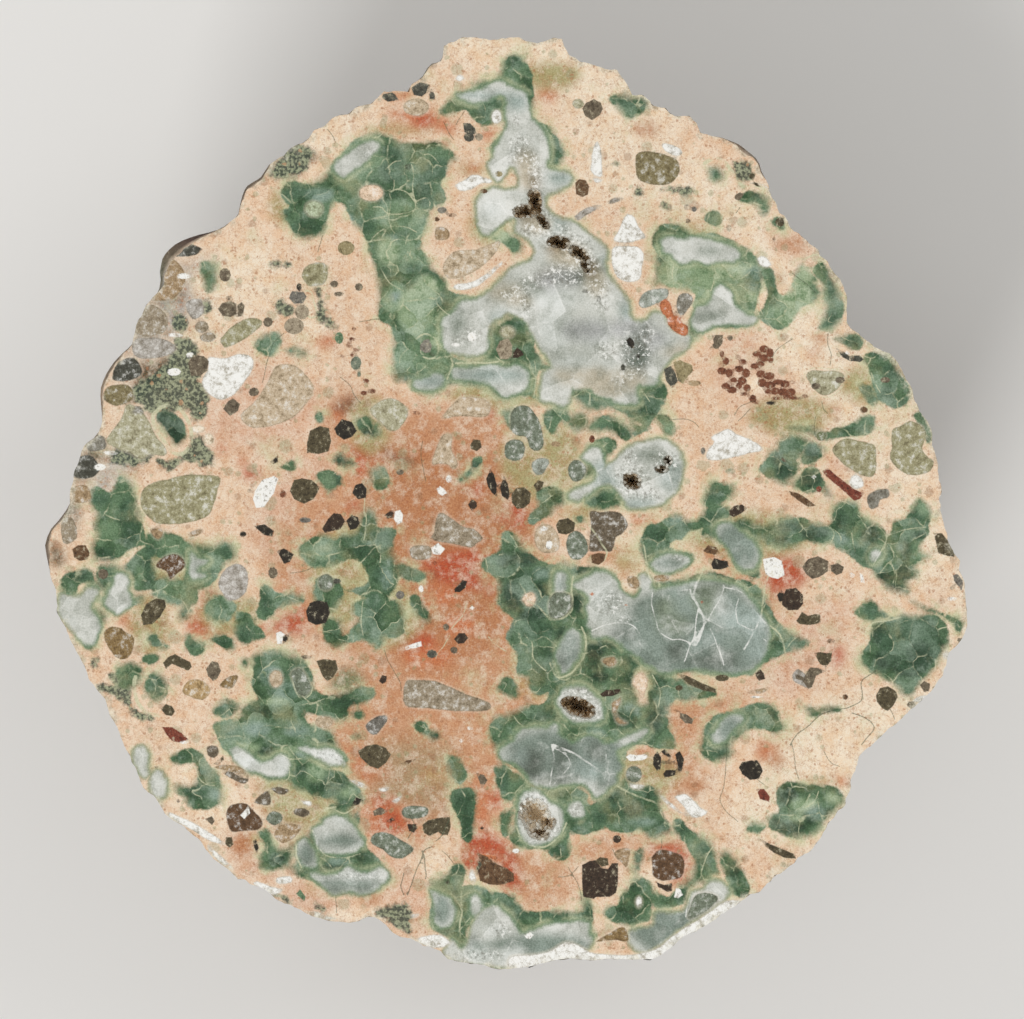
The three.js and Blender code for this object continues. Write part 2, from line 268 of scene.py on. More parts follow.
# Wide, soft changes of the ground's colour
GROUND = """
cream -80,480 20,480 120,440 180,400 140,360 80,380 40,420 -40,440 / -440,80 -400,-20 -380,0 -400,80 /
-260,360 -180,400 -140,380 -200,330
rosy -300,120 -240,140 -180,100 -220,60 -300,60 / -180,60 -240,20 -260,-40 -200,-40
salmon -180,110 -80,100 0,95 30,40 40,-20 50,-80 40,-160 20,-220 0,-280 -60,-320 -140,-300 -200,-240
-160,-160 -220,-120 -240,-60 -220,0 -180,40
clay -120,60 -40,60 10,30 20,-40 0,-120 -40,-160 -100,-160 -140,-80 -140,0
salmon 160,-170 200,-190 220,-180 240,-200 200,-220 190,-270 160,-300 140,-280 150,-240 / 0,-340 30,-350
60,-340 80,-330 140,-330 160,-340 120,-360 60,-360 60,-390 20,-400 -10,-380 / 200,-40 260,-80 270,-120
240,-90
rosy 260,-120 340,-100 320,-160 280,-190 240,-180 / 240,180 310,160 300,80 240,90 200,140
cream 300,-210 360,-200 420,-180 380,-240 300,-300 240,-340 220,-300 280,-240 / 400,80 450,-60 460,-100
430,-160 440,-80 380,-80 380,40 / -80,-340 -60,-360 -80,-380 -120,-350 -100,-330 / 0,-460 100,-460 40,-440
/ -330,-230 -330,-300 -240,-370 -280,-280 / 240,320 260,300 270,260 310,240 260,220 230,260 220,300
rosy -140,-360 -80,-380 -80,-430 -140,-410 -200,-380 -240,-390 -200,-420 -120,-430 / -280,-330 -250,-330
-240,-370 -280,-360 / 260,280 300,260 280,240
tan -240,-280 -200,-294 -190,-320 -220,-336 -240,-310 / -140,-240 -60,-240 -60,-290 -90,-320 -140,-290
orange -156,-240 -142,-260 -126,-270 -156,-276 / -150,-300 -90,-310 -90,-340 -120,-350 -146,-330 / -30,-280
-16,-300 -24,-340 -40,-310
cream 60,400 120,380 200,340 240,280 200,290 140,300 80,310 60,350 / -400,200 -340,220 -280,260 -220,240
-260,180 -340,160 / 260,250 310,210 350,150 400,90 410,30 360,40 300,100 250,170 / 300,-200 400,-190
420,-220 360,-290 300,-340 260,-300 280,-240
lilac -340,230 -300,240 -310,200 -340,170 -370,140 -385,120 -380,170 / -380,70 -360,90 -380,30 -410,0
-420,30
"""
# Smaller stains, mostly red and orange
STAINS = """
ochre -110,376,32,5 -39,335,11,5
orange -94,389,26,8,-8 -110,410,13,4 -64,379,9,7 -22,372,6,4 -36,335,4,3
red -86,385,9,6
lilac -364,200 -344,234 -326,236 -316,216 -324,196 -332,180 -340,162 -364,154 -376,168 -372,184
grey -346,210,8,10 -362,166,10,7 -332,210,6,8 -440,-10,10,14
dark_olive -385,105 -378,124 -370,140 -350,148 -338,152 -344,134 -352,120 -366,110 -380,102 / -432,44
-426,60 -410,66 -404,56 -410,42 -426,24 -434,26 / -458,-40 -446,-50 -450,-60 -459,-56 / -224,350,8,4
-214,356,8,4 -200,348,6,4 -226,334,16,6
red -259,31,8,5.5
orange -268,44,4,2.5 -288,55,3 -186,164,13,5 -174,90,8,5
rust -176,96 -168,104 -156,108 -148,100 -144,90 -139,80 -148,74 -154,84 -160,92 -168,93
red -150,50,10,9 -132,49,6,4.5 -17,94,5,6 -152,36,5,6 -33,15,4,5
rust -124,56 -116,50 -104,48 -96,44 -102,39 -112,42 -122,48
orange 10,34,16,14 38,412,8,7
clay 34,66 48,70 60,70 70,68 68,58 58,54 54,44 46,42 42,52 / 136,376,10,6
orange -322,-116 -312,-106 -306,-92 -294,-88 -288,-94 -286,-106 -280,-118 -288,-128 -300,-133 -314,-132
-322,-126 / -380,-116,10,5 -244,-124,8,5 -350,-122,10,4
red -306,-120,14,6
rust -296,-92,7,5 -70,-68,9,4
red -236,-122 -224,-110 -208,-104 -204,-114 -202,-124 -216,-128 -230,-126 / -86,-56 -74,-54 -64,-48 -50,-44
-34,-46 -26,-52 -34,-62 -30,-74 -18,-80 -22,-88 -38,-84 -56,-82 -68,-78 -78,-68 -86,-64
orange -76,-90,24,12 -84,-150,24,12 -114,-86,7,12 -50,-120,16,10
red -94,-135,18,7 -162,-78,7,5 -154,-3,7,5 -5,-8,8,7
olive_green -164,-176,16,12
red 8,-12,10,12 326,-152,7,9
orange 192,-42 200,-37 210,-39 218,-50 221,-60 206,-56 196,-50 / 132,-246,8,4 144,-272,9,6 77,-300,3,14
96,-49,16,4 134,-16,10,4
clay 186,-282,9,5 280,93,5,4 324,95,5,4 310,166,5,3 230,-66,9,4
ochre 64,-284,10,5 2,-166 6,-154 14,-150 22,-144 30,-150 34,-162 34,-174 37,-186 32,-196 22,-198 14,-190
6,-182 / 115,-56,12,12 66,-12,14,8
red 250,-50 264,-48 280,-52 290,-58 296,-68 290,-80 276,-84 262,-94 258,-80 252,-60 / 0,-352 8,-356 10,-370
8,-384 0,-388 -10,-376 -12,-360 / 140,-340 154,-336 170,-340 180,-352 180,-370 172,-380 164,-376 144,-350
rosy 326,40,9,6 305,150,6,5
tan 268,226,3,5
orange -130,-300 -96,-310 -100,-334 -126,-330 -134,-316 / -50,-346 -36,-336 -20,-344 -32,-360 -50,-360 /
-182,-264 -174,-260 -180,-280 -186,-274 / 256,-246,8,9 332,-276,6,3
red -126,-296,10,5 -118,-314,10,8 -32,-340,13,9 -14,-294,8,6 -40,-360,12,7 -116,-324,10,4 / -34,-330
-26,-326 -6,-336 4,-350 0,-362 -14,-354 -30,-348 -44,-350 -42,-340
clay -214,-278 -196,-290 -218,-292 -236,-286 -240,-278 / -266,-340,10,14 -140,-393,9,6 286,263,9,5
271,259,5,4 266,-256,7,5
rosy -204,-386,14,8 -264,-362,9,6 -190,-400,10,6 -90,-410,7,14 -236,-372,8,3
ochre -192,-266,7,11 -170,-294,12,4 310,-277,14,5 -252,-334,8,5 -9,-318,7,5 -76,-270,12,6
cream -170,-405 -130,-406 -154,-417 -180,-414 / 120,330,24,20 240,120,20,10 360,40,20,10 140,-370,12,8
-300,220,20,16 -200,180,16,20
green_wash -330,-60,40,26 -280,-110,30,20 -160,-70,40,50 -120,-110,30,30 -360,-120,20,30 50,-140,40,40
120,-270,50,20 -200,-290,50,30 240,-30,60,24 -10,110,50,14 280,90,40,20 -20,280,20,20 40,430,30,14
-220,300,20,20 / 30,46,40,40 80,14,20,26 140,-170,30,20 -140,80,20,30 180,260,30,20 360,120,30,20
"""
# Outlines of the green chalcedony
GREENS = """
green -228,318 -220,325 -204,322 -190,326 -180,339 -170,352 -155,365 -140,372 -125,372 -110,365 -95,363
-80,364 -68,362 -56,352 -53,346 -59,342 -63,330 -68,322 -64,312 -64,306 -70,300 -78,294 -82,282 -86,274
-88,258 -80,246 -76,236 -65,228 -62,222 -64,216 -54,212 -42,208 -60,170 -56,149 -30,149 -22,176 4,190
24,170 26,154 42,136 30,134 26,120 27,104 16,108 0,104 -12,106 -22,114 -36,118 -56,118 -64,114 -76,109
-92,111 -100,116 -101,122 -114,123 -119,130 -118,150 -118,168 -120,178 -132,186 -131,206 -134,226 -136,240
-142,252 -142,263 -153,275 -160,284 -164,296 -176,302 -182,284 -186,272 -202,266 -215,270 -222,280 -229,290
-228,295 -220,298 -225,303 -229,310 / -72,394 -66,402 -55,412 -42,417 -32,424 -20,426 -12,432 -8,444 1,451
12,450 20,439 23,425 25,405 23,390 31,384 42,376 50,364 55,352 51,338 40,335 20,340 0,360 -19,352 -19,360
-7,374 -7,382 -19,380 -28,379 -36,386 -45,394 -56,392 -66,388 / -310,236 -306,244 -292,243 -292,226
-296,216 -303,212 -309,222 / -254,164 -244,172 -232,174 -228,164 -232,154 -242,148 -252,154 /
-213,153,12,5,-10 -422,6 -419,16 -411,19 -400,13 -395,22 -389,30 -378,22 -374,10 -370,-4 -366,-24 -362,-38
-370,-42 -382,-46 -388,-52 -396,-56 -410,-58 -417,-54 -418,-42 -415,-30 -417,-20 -414,-8 / -353,90 -344,96
-334,92 -325,80 -323,68 -329,61 -335,60 -343,70 -350,80 / -139,35 -130,39 -123,33 -123,21 -129,19 -136,24 /
-178,44 -170,54 -162,48 -152,40 -164,37 -170,39 / -177,26 -172,32 -168,27 -170,20 -176,21 / -230,38 -222,44
-216,44 -212,36 -222,33 / -195,88 -191,95 -186,89 -187,82 -193,82 / -150,76 -144,70 -136,65 -129,72 -131,79
-125,80 -130,84 -138,79 -146,79 / -52,26 -42,36 -36,46 -28,49 -28,42 -36,32 -44,25 -50,23 / 0,164,20,21 /
61,117 64,106 70,100 72,96 80,93 90,94 100,96 112,92 118,86 126,82 136,77 142,82 150,94 156,104 158,116
151,126 148,138 156,146 130,140 100,120 / 76,80 84,88 98,90 110,86 119,80 124,72 116,64 106,70 96,74 84,72
78,74 / 120,86 132,80 142,78 134,72 124,68 120,74 / 34,92 40,98 54,100 60,96 62,86 56,80 50,82 46,70 38,74
34,82 / 76,58 82,64 94,68 104,66 108,60 104,52 96,46 92,36 78,44 / 144,86 150,92 158,89 164,82 166,74
160,68 154,70 150,78 / 74,6 82,14 92,20 102,18 110,10 112,0 98,-4 84,-4 74,0 / 48,6,10,9 221,34,5,3 192,4
194,14 202,24 214,22 224,20 224,10 218,4 210,-4 196,-4 / 142,218 144,232 146,248 142,260 144,272 154,280
170,280 184,272 204,272 220,266 236,258 248,246 254,230 250,214 246,196 240,180 224,176 204,176 190,168
180,166 172,174 178,184 184,194 182,200 184,210 174,214 162,216 156,218 148,219 / 98,406 106,412 116,414
120,410 130,409 138,404 134,394 126,388 116,386 108,394 / 198,336 206,340 214,334 214,326 206,322 198,326 /
203,287,9,8 / -362,-39 -352,-42 -351,-48 -356,-53 -354,-66 -352,-80 -358,-86 -372,-88 -378,-84 -380,-74
-388,-66 -386,-60 -378,-54 -374,-48 / -450,-80 -446,-70 -438,-67 -426,-64 -417,-67 -415,-74 -406,-80
-408,-86 -414,-86 -420,-80 -430,-79 -432,-86 -438,-91 -448,-87 / -410,-90 -404,-86 -398,-82 -397,-70
-392,-66 -384,-68 -380,-76 -380,-86 -370,-88 -366,-92 -368,-99 -376,-101 -384,-106 -392,-111 -400,-108
-408,-102 -412,-98 / -422,-98 -412,-102 -404,-108 -402,-114 -408,-124 -410,-130 -414,-140 -420,-146
-428,-134 -420,-114 / -346,-40 -338,-37 -329,-41 -322,-48 -321,-54 -330,-50 -340,-46 / -318,-44 -306,-46
-296,-40 -288,-34 -278,-38 -272,-48 -274,-54 -284,-60 -290,-68 -296,-76 -304,-84 -316,-86 -318,-92 -324,-90
-329,-76 -324,-64 -322,-50 / -346,-84 -330,-82 -320,-90 -318,-100 -316,-108 -322,-114 -330,-115 -332,-106
-330,-99 -338,-94 -348,-90 / -250,-80 -242,-80 -234,-85 -226,-88 -216,-87 -206,-92 -208,-98 -220,-99
-230,-104 -236,-110 -244,-116 -252,-114 -254,-104 -250,-94 / -274,-106 -260,-109 -254,-118 -246,-126
-244,-132 -254,-136 -264,-140 -272,-136 -278,-128 -276,-118 / -362,-129 -354,-128 -348,-136 -340,-142
-346,-145 -356,-142 -362,-138 / -360,-154,9,6 -354,-182,13,15 -265,-158,4,6 -326,-132 -320,-128 -314,-134
-304,-136 -304,-144 -310,-150 -318,-151 -324,-144 / -300,-134 -290,-129 -279,-132 -274,-138 -276,-146
-286,-144 -294,-139 / -298,-206 -290,-196 -280,-194 -270,-200 -274,-209 -284,-214 -292,-212 / -198,-46
-190,-42 -174,-34 -170,-30 -156,-26 -152,-16 -148,-8 -142,-2 -134,-7 -132,-20 -122,-23 -114,-24 -115,-36
-116,-50 -119,-62 -119,-70 -124,-80 -122,-94 -116,-100 -109,-110 -104,-124 -112,-132 -124,-134 -130,-144
-140,-140 -146,-136 -160,-138 -176,-144 -184,-136 -186,-130 -176,-118 -170,-126 -162,-128 -156,-120
-150,-114 -158,-108 -158,-100 -146,-92 -154,-88 -164,-84 -146,-80 -142,-72 -146,-64 -156,-54 -170,-58
-182,-62 -196,-60 -202,-54 / -100,-92 -92,-90 -84,-102 -78,-112 -82,-118 -90,-114 -98,-104 / -116,-56
-106,-58 -94,-64 -84,-70 -90,-78 -104,-74 -114,-68 / -96,-218 -86,-216 -80,-224 -72,-226 -69,-232 -76,-237
-84,-232 -92,-227 / -153,-209,8,5 -154,-231,4,3 / 0,-26 -8,-28 -10,-44 -26,-54 -29,-62 -20,-70 -12,-80
-14,-94 -10,-104 0,-111 12,-120 26,-123 36,-126 34,-136 32,-144 38,-156 39,-166 35,-174 38,-184 38,-192
30,-199 18,-200 2,-206 -8,-210 -18,-214 -22,-226 -18,-240 -10,-254 2,-262 16,-276 30,-284 50,-284 66,-282
78,-288 84,-298 100,-286 108,-276 112,-262 116,-254 118,-246 130,-240 150,-244 166,-242 162,-230 160,-216
160,-196 156,-184 148,-179 140,-184 136,-196 130,-195 124,-178 126,-166 134,-158 126,-140 160,-100 140,-83
130,-84 124,-88 114,-86 110,-76 104,-68 94,-63 80,-61 64,-60 54,-55 42,-58 30,-54 19,-46 9,-34 / -13,-183
-8,-173 0,-170 6,-180 10,-190 4,-194 -6,-190 / 130,-82 146,-77 164,-73 180,-70 196,-67 212,-69 228,-74
240,-76 252,-84 260,-102 268,-116 280,-126 300,-137 286,-146 270,-152 256,-158 244,-169 230,-172 210,-172
190,-170 170,-169 156,-174 144,-170 130,-162 114,-144 110,-100 / 222,-16 234,-12 244,-18 250,-30 253,-46
252,-60 250,-74 240,-72 226,-64 218,-46 206,-37 192,-32 194,-22 208,-16 / 134,-26 138,-20 148,-18 160,-10
170,-8 180,-14 190,-10 196,-2 206,2 220,-2 222,-12 210,-16 206,-24 192,-24 180,-28 172,-34 164,-36 160,-42
170,-46 182,-48 186,-54 180,-60 170,-68 158,-74 146,-70 138,-64 134,-54 130,-44 130,-34 / 240,-20 252,-20
262,-16 274,-10 290,-11 304,-16 320,-18 321,-8 324,2 336,5 348,1 352,-9 362,-16 372,-22 378,-29 382,-20
386,-14 394,-14 400,-4 408,8 418,4 422,-8 420,-20 420,-28 414,-36 410,-44 420,-50 414,-56 406,-60 409,-70
400,-77 400,-86 396,-90 388,-88 376,-84 366,-74 360,-66 350,-60 340,-52 330,-46 322,-40 310,-39 294,-37
280,-44 266,-44 254,-40 248,-34 / 366,-117 380,-114 394,-108 406,-109 420,-108 432,-114 438,-124 439,-136
434,-148 428,-160 420,-170 414,-176 408,-184 400,-192 390,-188 384,-180 370,-172 358,-166 350,-158 352,-146
358,-138 360,-128 / 344,-108 352,-98 360,-94 368,-100 374,-106 380,-112 370,-115 358,-116 350,-114 /
400,-96 410,-98 424,-104 440,-110 452,-114 454,-122 448,-128 442,-120 432,-112 416,-107 / 194,-220 204,-210
212,-208 224,-204 234,-202 244,-198 256,-198 268,-204 272,-216 276,-224 264,-229 250,-224 240,-226 228,-234
222,-242 226,-248 216,-256 206,-258 194,-252 188,-244 192,-232 / 18,-16 24,-4 36,2 46,-2 42,-10 34,-14
24,-20 / 70,-14,6,4 156,-170 164,-172 176,-176 190,-182 206,-188 204,-192 190,-194 174,-196 162,-190
160,-182 / -4,-274 6,-266 20,-278 30,-284 50,-282 66,-280 78,-288 80,-300 86,-294 100,-286 108,-276
116,-268 122,-276 130,-280 136,-280 146,-282 152,-290 152,-302 156,-312 162,-320 160,-328 150,-332 140,-332
130,-326 120,-328 106,-327 94,-324 80,-328 68,-330 60,-326 62,-340 60,-350 50,-356 40,-350 30,-344 16,-344
4,-340 -2,-330 4,-316 4,-296 0,-286 / 162,-316 170,-314 180,-324 190,-330 200,-336 204,-344 208,-354
210,-368 204,-372 196,-380 188,-380 180,-386 176,-396 168,-402 154,-404 142,-402 140,-414 130,-419 120,-422
110,-419 100,-416 94,-410 94,-404 100,-400 108,-400 110,-392 118,-382 122,-374 130,-372 140,-376 144,-384
154,-390 160,-390 166,-382 176,-376 182,-368 184,-354 178,-344 172,-336 166,-330 162,-326 / 124,-350
132,-342 134,-352 130,-366 124,-368 123,-360 / 212,-346 224,-350 230,-362 236,-374 240,-384 234,-392
224,-390 218,-382 214,-370 210,-360 / -22,-414 0,-390 8,-398 16,-406 30,-406 46,-404 64,-406 72,-402
70,-392 80,-394 84,-404 83,-416 82,-424 88,-430 82,-436 70,-432 40,-434 0,-436 -24,-430 / 310,244 318,240
324,228 330,216 333,202 332,188 326,178 316,174 308,176 310,184 314,194 313,208 310,222 302,234 / 322,166
334,170 344,173 352,168 354,160 348,154 340,154 332,162 / 356,152 366,154 378,152 386,144 392,132 399,120
400,108 396,100 386,97 376,100 368,106 364,114 362,124 360,134 354,144 / 348,120 358,120 366,114 368,104
362,100 352,108 / 274,78 286,80 302,80 316,74 326,78 340,80 350,88 364,90 366,80 362,72 350,69 332,67
318,64 308,64 300,69 286,73 / 290,44 290,56 296,64 306,64 314,58 312,48 304,41 296,39 / 250,36 256,50
264,58 276,54 286,46 288,36 282,26 276,20 266,22 256,28 / 282,20 288,30 298,38 308,36 314,26 320,16 324,8
318,6 310,14 300,12 288,15 / 402,90 412,92 419,80 422,68 418,60 414,72 408,82 / 240,240 250,228 258,214
254,200 248,190 254,182 266,174 278,178 286,188 294,198 306,202 310,210 308,224 300,236 290,242 284,230
280,216 272,210 266,220 264,234 254,242 / 294,-200 306,-202 320,-200 330,-202 330,-208 314,-208 306,-214
298,-210 / -230,-240 -210,-240 -194,-250 -180,-262 -166,-267 -160,-274 -150,-284 -146,-292 -142,-296
-154,-302 -160,-306 -150,-316 -152,-324 -144,-332 -142,-342 -132,-352 -126,-360 -120,-366 -119,-374
-126,-380 -140,-389 -152,-391 -162,-389 -166,-384 -170,-390 -180,-389 -190,-382 -200,-376 -212,-372
-220,-362 -216,-356 -214,-346 -214,-338 -206,-330 -198,-324 -189,-314 -180,-308 -182,-300 -176,-296
-192,-293 -204,-287 -216,-284 -223,-277 -240,-276 -254,-270 -264,-264 -262,-250 -256,-242 -246,-246 /
-158,-310 -152,-306 -150,-316 -156,-314 / -324,-243 -338,-250 -341,-255 -334,-260 -320,-259 -314,-260
-312,-272 -320,-280 -334,-278 -335,-288 -326,-294 -322,-302 -310,-305 -298,-304 -289,-298 -286,-286
-288,-276 -292,-266 -300,-260 -306,-250 -314,-244 / -253,-326 -242,-324 -236,-336 -230,-342 -216,-340
-216,-352 -220,-362 -232,-366 -244,-366 -253,-362 -250,-350 -246,-342 / -59,-286 -50,-283 -38,-283 -33,-290
-34,-304 -35,-320 -38,-334 -43,-339 -49,-332 -50,-320 -54,-308 -59,-296 / -63,-252 -52,-251 -45,-260
-43,-272 -50,-280 -56,-276 -64,-264 / -81,-375 -70,-372 -62,-366 -57,-359 -48,-359 -44,-368 -46,-380
-40,-379 -30,-381 -20,-386 -8,-388 0,-392 4,-404 -14,-402 -28,-406 -36,-414 -42,-426 -44,-438 -49,-445
-54,-438 -60,-434 -70,-428 -79,-422 -82,-410 -79,-396 -82,-384 / -16,-262 -4,-260 4,-270 4,-294 -6,-296
-12,-286 -15,-272 / -10,-308 4,-306 2,-328 -6,-332 -10,-322 / 267,-282 276,-277 288,-277 300,-279 314,-280
326,-282 334,-288 336,-296 332,-302 324,-308 316,-316 312,-324 304,-331 294,-334 280,-333 268,-328 259,-322
257,-314 262,-310 269,-306 266,-294 / 240,-318 250,-317 258,-319 254,-325 246,-328 236,-326 / 260,284
264,278 276,275 270,288 / 240,315 252,312 260,304 258,292 252,289 246,298 236,302 226,308 / -296,-218
-286,-215 -272,-212 -270,-202 -260,-196 -252,-192 -259,-180 -257,-164 -259,-152 -250,-147 -230,-146
-214,-150 -205,-155 -197,-170 -195,-184 -180,-189 -164,-185 -148,-181 -136,-184 -136,-193 -146,-199
-158,-202 -162,-213 -174,-217 -186,-212 -202,-208 -203,-216 -192,-221 -178,-226 -172,-236 -166,-246
-162,-256 -180,-262 -200,-254 -220,-254 -240,-266 -260,-264 -276,-254 -290,-240 -296,-228 / -364,-30
-340,-27 -318,-38 -296,-42 -284,-60 -302,-72 -324,-64 -344,-56 -362,-50 / -412,-60 -394,-58 -382,-70
-386,-90 -402,-92 -414,-80 / -356,-74 -334,-72 -312,-84 -316,-102 -340,-100 -358,-90 / -304,-96 -284,-90
-272,-104 -286,-118 -304,-112 / -204,-34 -186,-28 -172,-42 -182,-62 -202,-60 -212,-46 / -196,-74 -176,-72
-166,-88 -176,-106 -194,-100 / -130,-44 -116,-48 -112,-76 -124,-90 -134,-70 / -122,-96 -108,-100 -106,-126
-120,-132 -130,-114 / -186,-114 -168,-116 -166,-134 -184,-134 / -16,276 4,272 13,259 6,250 -6,260 -18,265 /
-64,216 -46,209 -26,208 -14,199 -34,196 -58,202 / -394,-164 -380,-156 -366,-166 -376,-184 -390,-182 /
266,64 286,72 302,60 290,46 270,48 / 4,-112 26,-112 46,-124 54,-140 52,-164 40,-186 24,-190 16,-174 6,-168
8,-150 -4,-134 / 27,14 44,20 53,7 43,-6 29,-2 / 67,44 82,48 85,31 71,27 / 57,88 73,94 81,81 65,73 / -9,93
7,96 13,81 1,75 / 136,-166 152,-162 164,-178 162,-200 148,-210 136,-196 142,-182 / -142,34 -126,38 -120,22
-134,14 / -194,30 -180,36 -170,24 -182,12 / -156,82 -144,89 -134,78 -144,68
"""
